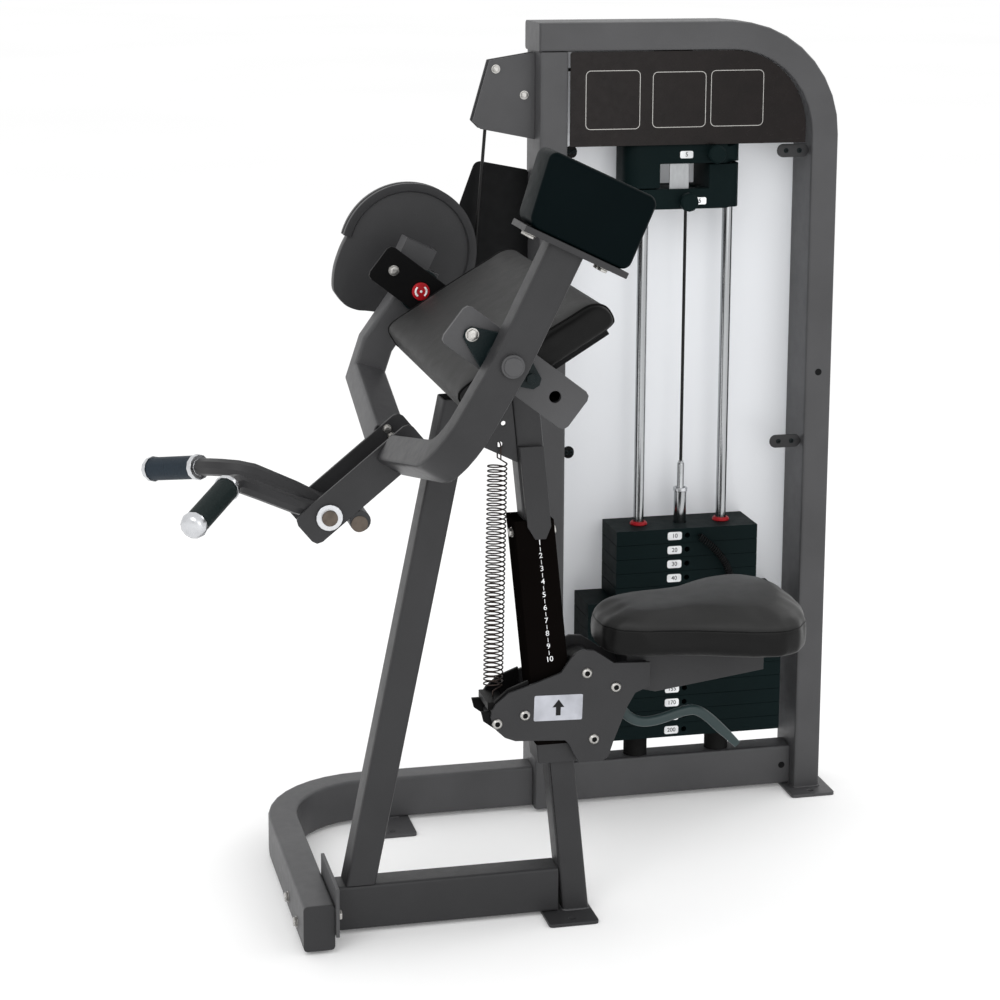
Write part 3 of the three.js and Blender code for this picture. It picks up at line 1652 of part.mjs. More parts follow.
const strapShape = box(strapLeft, strapRight, strapNear, strapNear + sheetThick);
add(stack, 'add_on_strap', 'zinc', planSlab(strapShape, addOnLow + strapFoot, towerUnderside));

// Panels and placard

const panels = new THREE.Group();
machine.add(panels);
const panelLeft = postInnerLeft - panelLap;
const panelRight = postInnerRight + panelLap;
const panelCorner = panelCornerShares.map(([x, z]) => [
  THREE.MathUtils.lerp(hoopMidX, panelRight, x),
  THREE.MathUtils.lerp(hoopMidZ, towerUnderside, z),
]);
const panelShape = polygon([
  [panelLeft, baseTop + panelClear],
  [panelRight, baseTop + panelClear],
  ...panelCorner,
  [panelLeft, towerUnderside],
]);
add(panels, 'rear_panel', 'clear', sideSlab(panelShape, towerBack, towerBack + sheetThick));
const camGuardY = towerBack - camGuardInset;
const camGuardShape = polygon(camGuardShares.map(([x, z]) => [
  towerLeft - x * camGuardWide,
  camMidZ - camGuardDrop + z * camGuardTall,
]));
add(panels, 'cam_guard_panel', 'black', sideSlab(camGuardShape, camGuardY, camGuardY + sheetThick));

function makePlacard() {
  const radius = hoopOuterRadius - tubeSide - placardInset;
  const left = postInnerLeft + placardSide;
  const low = towerUnderside - radius - placardBelow;
  const corner = placardCorner;
  const shape = new THREE.Shape();
  shape.moveTo(left, low);
  shape.lineTo(hoopMidX + radius, low);
  shape.absarc(hoopMidX, towerUnderside - radius, radius, 0, Math.PI / 2);
  shape.lineTo(left + corner, towerUnderside);
  shape.absarc(left + corner, towerUnderside - corner, corner, Math.PI / 2, Math.PI);
  const near = towerFront + placardSink;
  return sideSlab(shape, near, near + sheetThick, 8);
}

add(panels, 'placard', 'dark', makePlacard());

// Handle: hub, two bent bars and the grips

const handle = new THREE.Group();
handle.name = 'handle';
machine.add(handle);

function onHandle([x, y, z]) {
  return [handleX + x * handleReach, y * handleSpread, handleZ + z * handleRise];
}

const nearBarPath = nearBarShares.map(onHandle);
const farBarPath = farBarShares.map(onHandle);
const nearGripEnd = onHandle(gripEndShares.near);
const farGripEnd = onHandle(gripEndShares.far);

function makeHandleBar() {
  const hubReach = carrierHalf - carrierPlateThick - gap;
  const hub = bar(handleHubRadius, [handleX, -hubReach, handleZ], [handleX, hubReach, handleZ], 20);
  const near = sweep(roundLoop(barRadius, 8), nearBarPath, [0, 1, 0]);
  const far = sweep(roundLoop(barRadius, 8), farBarPath, [0, 1, 0]);
  const boreRadius = handlePinRadius + gap;
  const bore = bar(boreRadius, [handleX, -carrierHalf, handleZ], [handleX, carrierHalf, handleZ], 20);
  const cores = [[nearBarPath, nearGripEnd], [farBarPath, farGripEnd]].map(([path, end]) => (
    gripPiece(path[path.length - 1], end, false)));
  return cut(join(hub, near, far, ...cores), bore);
}

// A grip core with its collar, thin middle and domed end, or the sleeve round its middle
function gripPiece(from, to, sleeve) {
  const start = new THREE.Vector3(...from);
  const axis = new THREE.Vector3(...to).sub(start);
  const long = axis.length();
  const big = gripRadius + gripLip;
  const core = barRadius - gripLip;
  const dome = long - gripDomeLong;
  const spool = [
    [0, -gripLip],
    [core, -gripLip],
    [core, 0],
    [big - gripLip / 2, 0],
    [big, gripLip],
    [big, gripCollarLong],
    [core, gripCollarLong],
    [core, dome],
    [big, dome],
    [big, dome + gripDomeLong * 0.3],
    [big * 0.88, long - gripDomeLong * 0.3],
    [big * 0.6, long - gripDomeLong * 0.06],
    [0, long],
  ];
  const tube = [
    [core + gap, gripCollarLong + gap],
    [gripRadius, gripCollarLong + gap],
    [gripRadius, dome - gap],
    [core + gap, dome - gap],
    [core + gap, gripCollarLong + gap],
  ];
  const profile = (sleeve ? tube : spool).map(([x, y]) => new THREE.Vector2(x, y));
  const body = toGeometry(toSolid(new THREE.LatheGeometry(profile, 12)));
  const turn = new THREE.Quaternion().setFromUnitVectors(new THREE.Vector3(0, 1, 0), axis.normalize());
  body.applyQuaternion(turn);
  return body.translate(start.x, start.y, start.z);
}

add(handle, 'handle_bar', 'frame', makeHandleBar());
for (const [side, path, end] of [['near', nearBarPath, nearGripEnd], ['far', farBarPath, farGripEnd]]) {
  const start = path[path.length - 1];
  add(handle, `grip_${side}`, 'grip', gripPiece(start, end, true));
}

// Seat: sliding carriage with roller, arm, cushion and lever

const seat = new THREE.Group();
seat.name = 'seat';
machine.add(seat);

function onCarriage([x, z]) {
  return [rollerX + x * carriageLong, rollerZ + z * carriageTall];
}

const frontTies = tieShares.map(onCarriage);
const ties = [...frontTies, [rollerX, rollerZ], [leverX, leverZ]];

function makeCarriage() {
  const outline = polygon(carriageShares.map(onCarriage));
  const near = sideSlab(outline, -seatPlateHalf, -seatPlateInner);
  const far = sideSlab(outline, seatPlateInner, seatPlateHalf);
  const reach = seatPlateHalf - seatPlateThick / 2;
  const bars = ties.map(([x, z]) => bar(tieRadius, [x, -reach, z], [x, reach, z], 10));
  return join(near, far, ...bars);
}

function makeRoller() {
  const profile = [
    [tieRadius + gap, -rollerHalf],
    [rollerRadius - rollerEdge, -rollerHalf],
    [rollerRadius, rollerEdge - rollerHalf],
    [rollerRadius, rollerHalf - rollerEdge],
    [rollerRadius - rollerEdge, rollerHalf],
    [tieRadius + gap, rollerHalf],
    [tieRadius + gap, -rollerHalf],
  ];
  const body = new THREE.LatheGeometry(profile.map(([x, y]) => new THREE.Vector2(x, y)), 20);
  return toGeometry(toSolid(body)).translate(rollerX, 0, rollerZ);
}

function onSeatArm([x, z]) {
  return [rollerX + seatArmLead + x * seatArmLong, seatFloor + z * seatArmTall];
}

function makeSeatArm() {
  const beam = sideSlab(polygon(seatArmShares.map(onSeatArm)), -tubeHalf, tubeHalf);
  return join(beam, sideSlab(polygon(seatRootShares.map(onSeatArm)), -seatPlateInner, seatPlateInner));
}

function seatRing(inset, z) {
  const left = rollerX + seatLead;
  const far = seatOutlineShares.map(([x, y]) => new THREE.Vector2(left + x * seatLong, y * seatHalf));
  const near = far.slice(1, -1).map((point) => new THREE.Vector2(point.x, -point.y));
  const centre = new THREE.Vector2(left + seatMidShare * seatLong, 0);
  return [...near, ...far.slice().reverse()].map((point) => {
    const arm = point.clone().sub(centre);
    const reach = arm.length();
    arm.multiplyScalar((reach - inset) / reach).add(centre);
    return new THREE.Vector3(arm.x, arm.y, z);
  });
}

function makeSeatPad() {
  const rings = seatLayerShares.map(([inset, rise]) => (
    seatRing(seatPadThick * inset, seatFloor + seatPadThick * rise)));
  return skin(rings, true);
}

function makeLever() {
  const path = leverShares.map(([x, z]) => [leverX + x * leverReach, -leverInset, leverZ + z * leverFall]);
  const arm = sweep(loopOf(leverThick, leverDeep, leverCorner), path, [1, 0, 0.4]);
  const half = seatPlateInner - leverHubClear;
  const hub = bar(leverHubRadius, [leverX, -half, leverZ], [leverX, half, leverZ], 18);
  const reach = half + overrun;
  const bore = bar(tieRadius + gap, [leverX, -reach, leverZ], [leverX, reach, leverZ], 18);
  return cut(join(arm, hub), bore);
}

add(seat, 'seat_carriage', 'frame', makeCarriage());
add(seat, 'seat_roller', 'dark', makeRoller());
add(seat, 'seat_arm', 'frame', makeSeatArm());
add(seat, 'seat_pad', 'vinyl', makeSeatPad());
add(seat, 'seat_lever', 'dark', makeLever());

// Wound wire: curls about a guide curve, with straight ends

// Least distance between two stretches of the wire that are not next to each other, less its thickness
function selfGap(points, wireRadius) {
  let least = Infinity;
  for (let first = 0; first < points.length; first += 1) {
    for (let second = first + curlSteps - 2; second < points.length; second += 1) {
      least = Math.min(least, points[first].distanceTo(points[second]));
    }
  }
  return least - 2 * wireRadius / Math.cos(Math.PI / curlSteps);
}

function curlPath(guide, turns, coilRadius, hint) {
  const points = [];
  const count = turns * curlSteps;
  for (let step = 0; step <= count; step += 1) {
    const share = step / count;
    const along = guide.getTangentAt(share);
    const across = new THREE.Vector3(...hint);
    across.addScaledVector(along, -across.dot(along)).normalize();
    const up = along.clone().cross(across);
    const turn = Math.PI * 2 * step / curlSteps;
    const point = guide.getPointAt(share).addScaledVector(across, coilRadius * Math.cos(turn));
    points.push(point.addScaledVector(up, coilRadius * Math.sin(turn)));
  }
  return points;
}

function wind(label, guide, turns, coilRadius, wireRadius, hint, before, after) {
  const curls = curlPath(guide, turns, coilRadius, hint);
  const path = [
    ...before.map((point) => new THREE.Vector3(...point)),
    ...curls,
    ...after.map((point) => new THREE.Vector3(...point)),
  ];
  console.log(`${label} clears itself by ${selfGap(path, wireRadius).toFixed(2)} mm`);
  const loop = roundLoop(wireRadius, curlSides);
  return sweep(loop, path.map((point) => point.toArray()), [0, 0, 1]);
}

// Lifting spring of the seat, from the web plate down to its bracket on the carriage

const springY = -springInset;
const springTop = [hookHole.x + springHookShift, springY, webLow - springHookDrop];
const springFoot = [rollerX - springFootLead, springY, rollerZ - springFootDrop];
const springGuide = new THREE.LineCurve3(new THREE.Vector3(...springTop), new THREE.Vector3(...springFoot));
const webMidY = webThick / 2 - tubeHalf;
const hookSeatZ = hookHole.z + hookHole.radius - springWireRadius - gap / 2;
add(seatFrame, 'seat_spring', 'steel', wind('seat spring', springGuide, springTurns, springCoilRadius,
  springWireRadius, [1, 0, 0],
  [
    [hookHole.x, webMidY - webThick - springWireRadius, hookSeatZ],
    [hookHole.x, springY - springWireRadius, hookSeatZ],
    [hookHole.x, springY, hookSeatZ - 2 * springWireRadius],
    [springTop[0], springY, springTop[2] + springHookLong / 2],
  ],
  [
    [springFoot[0], springY, springFoot[2] - springTailLong / 2],
    [springFoot[0], springY, springFoot[2] - springTailLong],
  ]));

// Two cheeks outside the rail, tied by the block that holds the foot of the spring
function makeSpringBracket() {
  const outline = springCheekShares.map(([x, z]) => [
    rollerX - springCheekLead + x * springCheekLong,
    rollerZ - springCheekDrop + z * springCheekTall,
  ]);
  const inner = seatPlateInner - springCheekInset;
  const cheeks = [
    sideSlab(polygon(outline), -seatPlateInner, -inner),
    sideSlab(polygon(outline), inner, seatPlateInner),
  ];
  const reach = inner + springCheekTie;
  const left = springFoot[0] - springCoilRadius;
  const high = springFoot[2] - springTailLong;
  const shape = box(left, left + 2 * springCoilRadius, high - springBlockTall, high);
  const block = sideSlab(shape, -reach, reach);
  const tools = frontTies.slice(0, 2).map(([x, z]) => (
    bar(tieRadius + gap, [x, -seatPlateHalf, z], [x, seatPlateHalf, z], 14)));
  return cut(join(...cheeks, block), ...tools);
}

add(seat, 'spring_bracket', 'black', makeSpringBracket());

// Curly lanyard between the eye and the selector pin

const lanyardEye = [stackMidX + lanyardEyeReach, stackFront - gap / 3, stackTop - lanyardEyeDrop];
const lanyardRoute = lanyardShares.map(([x, y, z]) => new THREE.Vector3(
  stackMidX + x * lanyardReach,
  stackFront - y * lanyardProud,
  THREE.MathUtils.lerp(pinZ, lanyardEye[2], z),
));
const pinSide = stackMidX + pinKnobRadius;
const lanyardPinY = stackFront - lanyardPinShare * lanyardProud;
const lanyardGuide = new THREE.CatmullRomCurve3(lanyardRoute);
add(stack, 'pin_lanyard', 'black', wind('pin lanyard', lanyardGuide, lanyardTurns,
  lanyardCoilRadius, lanyardWireRadius, [0, 1, 0],
  [lanyardEye, [lanyardEye[0], stackFront - lanyardEyeLong, lanyardEye[2]]],
  [[pinSide + lanyardEndLong, lanyardPinY, pinZ], [pinSide + gap / 3, lanyardPinY, pinZ]]));

export default machine;
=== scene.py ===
# Looks of the biceps curl machine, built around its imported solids. Lengths are typed in millimetres.
import json
import math
import bmesh
import bpy
from mathutils import Matrix, Vector
from mathutils.bvhtree import BVHTree
from mathutils.kdtree import KDTree


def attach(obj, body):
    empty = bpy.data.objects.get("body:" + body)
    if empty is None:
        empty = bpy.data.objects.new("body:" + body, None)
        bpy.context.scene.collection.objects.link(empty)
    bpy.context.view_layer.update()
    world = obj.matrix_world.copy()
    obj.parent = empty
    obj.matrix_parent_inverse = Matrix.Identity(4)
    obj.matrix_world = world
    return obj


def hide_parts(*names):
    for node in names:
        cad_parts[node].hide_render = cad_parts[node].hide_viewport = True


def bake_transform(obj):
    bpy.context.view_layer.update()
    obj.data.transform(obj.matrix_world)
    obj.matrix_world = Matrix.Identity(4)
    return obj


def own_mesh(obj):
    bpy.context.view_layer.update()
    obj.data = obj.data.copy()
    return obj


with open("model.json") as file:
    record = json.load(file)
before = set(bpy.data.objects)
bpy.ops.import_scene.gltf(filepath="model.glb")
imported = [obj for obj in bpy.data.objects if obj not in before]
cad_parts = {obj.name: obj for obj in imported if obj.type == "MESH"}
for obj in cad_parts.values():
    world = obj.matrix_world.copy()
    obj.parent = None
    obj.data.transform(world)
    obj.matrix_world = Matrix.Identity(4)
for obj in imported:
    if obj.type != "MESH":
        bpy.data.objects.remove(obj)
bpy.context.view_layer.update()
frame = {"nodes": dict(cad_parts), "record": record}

MM = 0.001
SOLID_MERGE = 2e-6
TURNED_MERGE = 1e-6
TUBE_MERGE = 1e-7
FLAT_WITHIN = math.radians(0.6)
TO_FRONT = (0, -1, 0)
UP = (0, 0, 1)

record = frame["record"]
home = {node: body for body, nodes in record["behaviour"]["bodies"].items() for node in nodes}
paint_slot = {part["node"]: part["material_slot"] for part in record["subparts"]}


def at(x, y, z):
    """A place or a way given in millimetres."""
    return Vector((x, y, z)) * MM


# Finishes

def new_finish(name, colour, roughness, metallic=0.0):
    finish = bpy.data.materials.new(name)
    finish.use_nodes = True
    tree = finish.node_tree
    shader = tree.nodes["Principled BSDF"]
    shader.inputs["Base Color"].default_value = (*colour, 1)
    shader.inputs["Roughness"].default_value = roughness
    shader.inputs["Metallic"].default_value = metallic
    place = tree.nodes.new("ShaderNodeTexCoord").outputs["Object"]
    return finish, tree, shader, place


def stretched(tree, place, scale):
    mapping = tree.nodes.new("ShaderNodeMapping")
    mapping.inputs["Scale"].default_value = scale
    tree.links.new(place, mapping.inputs["Vector"])
    return mapping.outputs["Vector"]


def speckle(tree, place, scale, detail=2.0):
    noise = tree.nodes.new("ShaderNodeTexNoise")
    noise.inputs["Scale"].default_value = scale
    noise.inputs["Detail"].default_value = detail
    tree.links.new(place, noise.inputs["Vector"])
    return noise.outputs["Fac"]


def pebbles(tree, place, scale, feature="F1"):
    cells = tree.nodes.new("ShaderNodeTexVoronoi")
    cells.feature = feature
    cells.inputs["Scale"].default_value = scale
    tree.links.new(place, cells.inputs["Vector"])
    return cells.outputs["Distance"]


def ramp(tree, value, first, second, start=0.3, end=0.7):
    """A colour that runs from the first to the second while a value runs from start to end."""
    band = tree.nodes.new("ShaderNodeValToRGB")
    for index, spot, colour in ((0, start, first), (1, end, second)):
        band.color_ramp.elements[index].position = spot
        band.color_ramp.elements[index].color = (*colour, 1)
    tree.links.new(value, band.inputs["Fac"])
    return band.outputs["Color"]


def mottle(tree, shader, value, first, second, start=0.3, end=0.7):
    """Colours a surface by a pattern."""
    tree.links.new(ramp(tree, value, first, second, start, end), shader.inputs["Base Color"])


def spread(tree, value, low, high, start=0.3, end=0.7):
    scale = tree.nodes.new("ShaderNodeMapRange")
    scale.inputs["From Min"].default_value = start
    scale.inputs["From Max"].default_value = end
    scale.inputs["To Min"].default_value = low
    scale.inputs["To Max"].default_value = high
    tree.links.new(value, scale.inputs["Value"])
    return scale.outputs["Result"]


def wear(tree, shader, value, low, high):
    """Varies a surface's roughness by a pattern."""
    tree.links.new(spread(tree, value, low, high), shader.inputs["Roughness"])


def raise_by(tree, shader, height, strength, distance, under=None):
    """Relief on a surface, on top of the relief under it."""
    relief = tree.nodes.new("ShaderNodeBump")
    relief.inputs["Strength"].default_value = strength
    relief.inputs["Distance"].default_value = distance
    tree.links.new(height, relief.inputs["Height"])
    if under is not None:
        tree.links.new(under, relief.inputs["Normal"])
    tree.links.new(relief.outputs["Normal"], shader.inputs["Normal"])
    return relief.outputs["Normal"]


def shades(colour, low, high):
    """A darker and a lighter shade of a colour."""
    return tuple(value * low for value in colour), tuple(value * high for value in colour)


def powder_coat(name, colour, roughness, grain, gloss):
    """Baked paint with its orange peel."""
    finish, tree, shader, place = new_finish(name, colour, roughness)
    dark, light = shades(colour, 0.88, 1.14)
    mottle(tree, shader, speckle(tree, place, 7.0, 4.0), dark, light)
    wear(tree, shader, speckle(tree, place, 60.0), roughness - 0.02, roughness + 0.04)
    peel = raise_by(tree, shader, speckle(tree, place, 420.0, 1.0), grain, 0.0006)
    raise_by(tree, shader, speckle(tree, place, 1500.0), grain, 0.0003, peel)
    shader.inputs["Specular IOR Level"].default_value = gloss
    return finish


# Numbers of the sockets of a colour mix: its share, its two colours and its result
MIX_SHARE = 0
MIX_FIRST = 6
MIX_SECOND = 7
MIX_COLOUR = 2


def upholstery(name, colour, roughness, gloss, sheen, side=None):
    """Vinyl. Side gives an axis and two distances between which it turns to painted shade on the sides."""
    finish, tree, shader, place = new_finish(name, colour, roughness)
    dark, light = shades(colour, 0.96, 1.04)
    top = ramp(tree, speckle(tree, place, 9.0, 3.0), dark, light, 0.3, 0.72)
    if side:
        axis, start, end = side
        parts = tree.nodes.new("ShaderNodeSeparateXYZ")
        tree.links.new(place, parts.inputs["Vector"])
        reach = tree.nodes.new("ShaderNodeMath")
        reach.operation = "ABSOLUTE"
        tree.links.new(parts.outputs[axis], reach.inputs[0])
        low, high, flip = min(start, end), max(start, end), start > end
        share = spread(tree, reach.outputs["Value"], float(flip), float(not flip), low, high)
        blend = tree.nodes.new("ShaderNodeMix")
        blend.data_type = "RGBA"
        tree.links.new(share, blend.inputs[MIX_SHARE])
        tree.links.new(top, blend.inputs[MIX_FIRST])
        blend.inputs[MIX_SECOND].default_value = (*PAINTED_SHADE_VINYL, 1)
        tree.links.new(blend.outputs[MIX_COLOUR], shader.inputs["Base Color"])
    else:
        tree.links.new(top, shader.inputs["Base Color"])
    wear(tree, shader, speckle(tree, place, 40.0, 3.0), roughness - 0.02, roughness + 0.04)
    creases = raise_by(tree, shader, speckle(tree, place, 30.0, 3.0), 0.012, 0.002)
    raise_by(tree, shader, pebbles(tree, place, 620.0), 0.3, 0.0005, creases)
    shader.inputs["Specular IOR Level"].default_value = gloss
    shader.inputs["Sheen Weight"].default_value = sheen
    shader.inputs["Sheen Roughness"].default_value = 0.45
    return finish


def bare_metal(name, colour, roughness, scale, grain, stain=0.9):
    """Unpainted metal. Scale stretches its streaks along the way it was drawn."""
    finish, tree, shader, place = new_finish(name, colour, roughness, 1.0)
    dark, light = shades(colour, stain, 1.04)
    drawn = stretched(tree, place, scale)
    streaks = speckle(tree, drawn, 90.0, 6.0)
    mottle(tree, shader, streaks, dark, light)
    wear(tree, shader, streaks, roughness * 0.8, roughness * 1.35)
    raise_by(tree, shader, speckle(tree, drawn, 700.0), grain, 0.0003)
    return finish


def moulded(name, colour, roughness, grain, scale=900.0, gloss=0.2):
    """Plastic, rubber or print."""
    finish, tree, shader, place = new_finish(name, colour, roughness)
    dark, light = shades(colour, 0.85, 1.2)
    mottle(tree, shader, speckle(tree, place, 30.0, 3.0), dark, light)
    wear(tree, shader, speckle(tree, place, 90.0), roughness - 0.05, roughness + 0.06)
    raise_by(tree, shader, speckle(tree, place, scale, 1.0), grain, 0.0004)
    shader.inputs["Specular IOR Level"].default_value = gloss
    return finish


def knurled(name, colour, roughness):
    """Grip rubber with its small pips."""
    finish, tree, shader, place = new_finish(name, colour, roughness)
    dark, light = shades(colour, 0.75, 1.3)
    cells = pebbles(tree, place, 420.0, "SMOOTH_F1")
    mottle(tree, shader, cells, light, dark, 0.2, 0.8)
    raise_by(tree, shader, cells, 0.6, 0.0009)
    shader.inputs["Specular IOR Level"].default_value = 0.15
    return finish


def frosted_sheet(name, colour):
    """Milky plastic, with a painted glow that stands in for the light it passes."""
    finish, tree, shader, place = new_finish(name, colour, 0.28)
    dark, light = shades(colour, 0.97, 1.03)
    mottle(tree, shader, speckle(tree, place, 2.5), dark, light)
    raise_by(tree, shader, speckle(tree, place, 260.0, 1.0), 0.03, 0.0004)
    # Painted light: the sheet glows in its own colour.
    shader.inputs["Emission Color"].default_value = (*colour, 1)
    shader.inputs["Emission Strength"].default_value = 0.2
    return finish


# The dark colour of the painted shade on the sides of the pad and the saddle.
PAINTED_SHADE_VINYL = (0.0008, 0.0008, 0.0008)
FRAME_GREY = powder_coat("charcoal_coat", (0.06, 0.06, 0.0625), 0.45, 0.2, 0.34)
# A darker copy of the frame paint, for the nearer parts: painted shade.
PAINTED_SHADE_GREY = powder_coat("painted_shade_charcoal_coat", (0.028, 0.028, 0.0294), 0.42, 0.2, 0.24)
BLACK_COAT = powder_coat("black_coat", (0.0045, 0.0045, 0.0047), 0.42, 0.16, 0.07)
RAIL_COAT = powder_coat("rail_coat", (0.0034, 0.0027, 0.0025), 0.4, 0.1, 0.0)
STACK_COAT = powder_coat("plate_coat", (0.0032, 0.0085, 0.009), 0.5, 0.26, 0.05)
WEIGHT_COAT = powder_coat("weight_coat", (0.0009, 0.0034, 0.004), 0.42, 0.12, 0.03)
LEVER_COAT = powder_coat("lever_coat", (0.02, 0.036, 0.037), 0.34, 0.15, 0.35)
CAST_BLACK = powder_coat("cast_coat", (0.006, 0.0115, 0.0125), 0.34, 0.5, 0.14)
# Past its seams the pad's ends, and below its seam the saddle's sides, turn to painted shade.
PAD_TOP = upholstery("pad_vinyl", (0.013, 0.013, 0.0128), 0.5, 0.18, 0.03, ("Y", 0.2755, 0.2785))
SEAT_TOP = upholstery("seat_vinyl", (0.0225, 0.0225, 0.0223), 0.44, 0.18, 0.03, ("Z", 0.504, 0.493))
PIPING = upholstery("piping_vinyl", (0.003, 0.003, 0.003), 0.42, 0.1, 0.0)
CHROME = bare_metal("chromed_rod", (0.4, 0.41, 0.42), 0.16, (1, 1, 0.05), 0.03)
STEEL = bare_metal("zinc_steel", (0.5, 0.49, 0.47), 0.32, (1, 1, 1), 0.08, 0.8)
SPRING_STEEL = bare_metal("spring_wire", (0.05, 0.038, 0.034), 0.36, (1, 1, 1), 0.05, 0.75)
ALLOY = bare_metal("turned_alloy", (0.6, 0.61, 0.63), 0.26, (1, 1, 1), 0.05, 0.92)
GALVANISED = bare_metal("galvanised_strap", (0.42, 0.43, 0.44), 0.45, (1, 1, 0.4), 0.15, 0.72)
BRONZE = bare_metal("bronze_bush", (0.15, 0.125, 0.105), 0.5, (1, 1, 1), 0.3, 0.6)
GRIP_NEAR = knurled("grip_dark", (0.006, 0.0115, 0.0115), 0.62)
GRIP_FAR = knurled("grip_slate", (0.012, 0.02, 0.029), 0.58)
RUBBER = moulded("black_rubber", (0.007, 0.007, 0.007), 0.75, 0.4, 500.0, 0.1)
BLACK_PLASTIC_AND_PAINTED_SHADE = moulded("black_plastic", (0.0052, 0.0054, 0.0058), 0.42, 0.2, 900.0, 0.08)
RED_PLASTIC = moulded("red_ring", (0.36, 0.008, 0.014), 0.35, 0.1)
WHITE_PRINT = moulded("white_print", (0.78, 0.79, 0.8), 0.45, 0.05)
BLACK_PRINT = moulded("black_print", (0.006, 0.006, 0.0065), 0.5, 0.05)
SILVER_FOIL = moulded("silver_foil", (0.42, 0.43, 0.47), 0.35, 0.08)
PANEL = frosted_sheet("panel_sheet", (0.73, 0.745, 0.77))
PLACARD = moulded("placard_sheet", (0.0075, 0.0052, 0.0048), 0.24, 0.04, 900.0, 0.16)
CABLE = moulded("cable_coat", (0.008, 0.008, 0.008), 0.36, 0.5, 700.0)

FINISH = {
    "frame_paint": FRAME_GREY, "black_paint": BLACK_COAT, "stack_paint": STACK_COAT, "vinyl": PAD_TOP,
    "chrome": CHROME, "alloy": ALLOY, "grip_rubber": GRIP_NEAR, "rubber": RUBBER, "panel_plastic": PANEL,
    "black_plastic": BLACK_PLASTIC_AND_PAINTED_SHADE, "cable_coating": CABLE, "zinc": GALVANISED,
    "spring_steel": SPRING_STEEL, "cast_black": CAST_BLACK,
}
for node, solid in frame["nodes"].items():
    solid.data.materials.clear()
    solid.data.materials.append(FINISH[paint_slot[node]])


# Making pieces

def put(name, bm, body, *finishes, crease=38, turn=True):
    """Makes a piece of a bmesh and lets it ride on a body. Turn makes its faces point outwards first."""
    if turn:
        bmesh.ops.recalc_face_normals(bm, faces=bm.faces)
    mesh = bpy.data.meshes.new(name)
    bm.to_mesh(mesh)
    bm.free()
    piece = bpy.data.objects.new(name, mesh)
    bpy.context.collection.objects.link(piece)
    for finish in finishes:
        mesh.materials.append(finish)
    mesh.shade_smooth()
    mesh.set_sharp_from_angle(angle=math.radians(crease))
    if body:
        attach(piece, body)
    return piece


def stand_for(piece, node):
    """Shows a piece in place of a solid."""
    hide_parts(node)


def joined_solid(node):
    """A solid's mesh with the corners of its loose triangles joined."""
    bm = bmesh.new()
    bm.from_mesh(frame["nodes"][node].data)
    bmesh.ops.remove_doubles(bm, verts=bm.verts, dist=SOLID_MERGE)
    return bm


def flattened_solid(node):
    """A solid's mesh with each flat face in one piece."""
    bm = joined_solid(node)
    bmesh.ops.dissolve_limit(bm, angle_limit=FLAT_WITHIN, verts=bm.verts, edges=bm.edges)
    return bm


def aim(axis, origin):
    """A place whose Z lies along an axis."""
    return Matrix.Translation(origin) @ Vector(axis).to_track_quat("Z", "Y").to_matrix().to_4x4()


def turned(bm, profile, steps=32):
    """Spins a profile of radius and height pairs about Z, from the axis or as a closed ring."""
    verts = [bm.verts.new((radius * MM, 0, height * MM)) for radius, height in profile]
    edges = [bm.edges.new(pair) for pair in zip(verts, verts[1:])]
    bmesh.ops.spin(bm, geom=verts + edges, cent=(0, 0, 0), axis=(0, 0, 1), angle=math.tau, steps=steps,
                   use_merge=True)
    bmesh.ops.remove_doubles(bm, verts=bm.verts, dist=TURNED_MERGE)


def round_off(bm, edges, width, segments, clamp=False):
    """Rounds the edges given."""
    bmesh.ops.bevel(bm, geom=edges, offset=width * MM, offset_type="OFFSET", segments=segments, profile=0.5,
                    affect="EDGES", clamp_overlap=clamp, material=-1)


def soften(bm, width, over):
    """Rounds each edge that turns by more than an angle."""
    sharp = math.radians(over)
    edges = [edge for edge in bm.edges if edge.is_manifold and edge.calc_face_angle() > sharp]
    round_off(bm, edges, width, 2)


def grow(bm, face, way):
    """Turns a face into a slab by drawing it out along a way, and gives what was drawn."""
    drawn = bmesh.ops.extrude_face_region(bm, geom=[face])["geom"]
    bmesh.ops.translate(bm, verts=[item for item in drawn if isinstance(item, bmesh.types.BMVert)], vec=way)
    return drawn


def dress(node, edge=1.0, over=40, crease=42, second=None, finish=None, shape=None):
    """A copy of a solid with its edges eased, shown in its place.

    Shape is a function that changes the copy first, and second gives a test and a finish for some faces.
    """
    bm = flattened_solid(node)
    if shape:
        shape(bm)
    if edge:
        soften(bm, edge, over)
    finishes = [finish or FINISH[paint_slot[node]]]
    if second:
        test, other = second
        finishes.append(other)
        for face in bm.faces:
            face.material_index = int(test(face.calc_center_median() / MM))
    piece = put(node + "_dressed", bm, home[node], *finishes, crease=crease, turn=False)
    weighted = piece.modifiers.new("even_shading", "WEIGHTED_NORMAL")
    weighted.keep_sharp = True
    stand_for(piece, node)


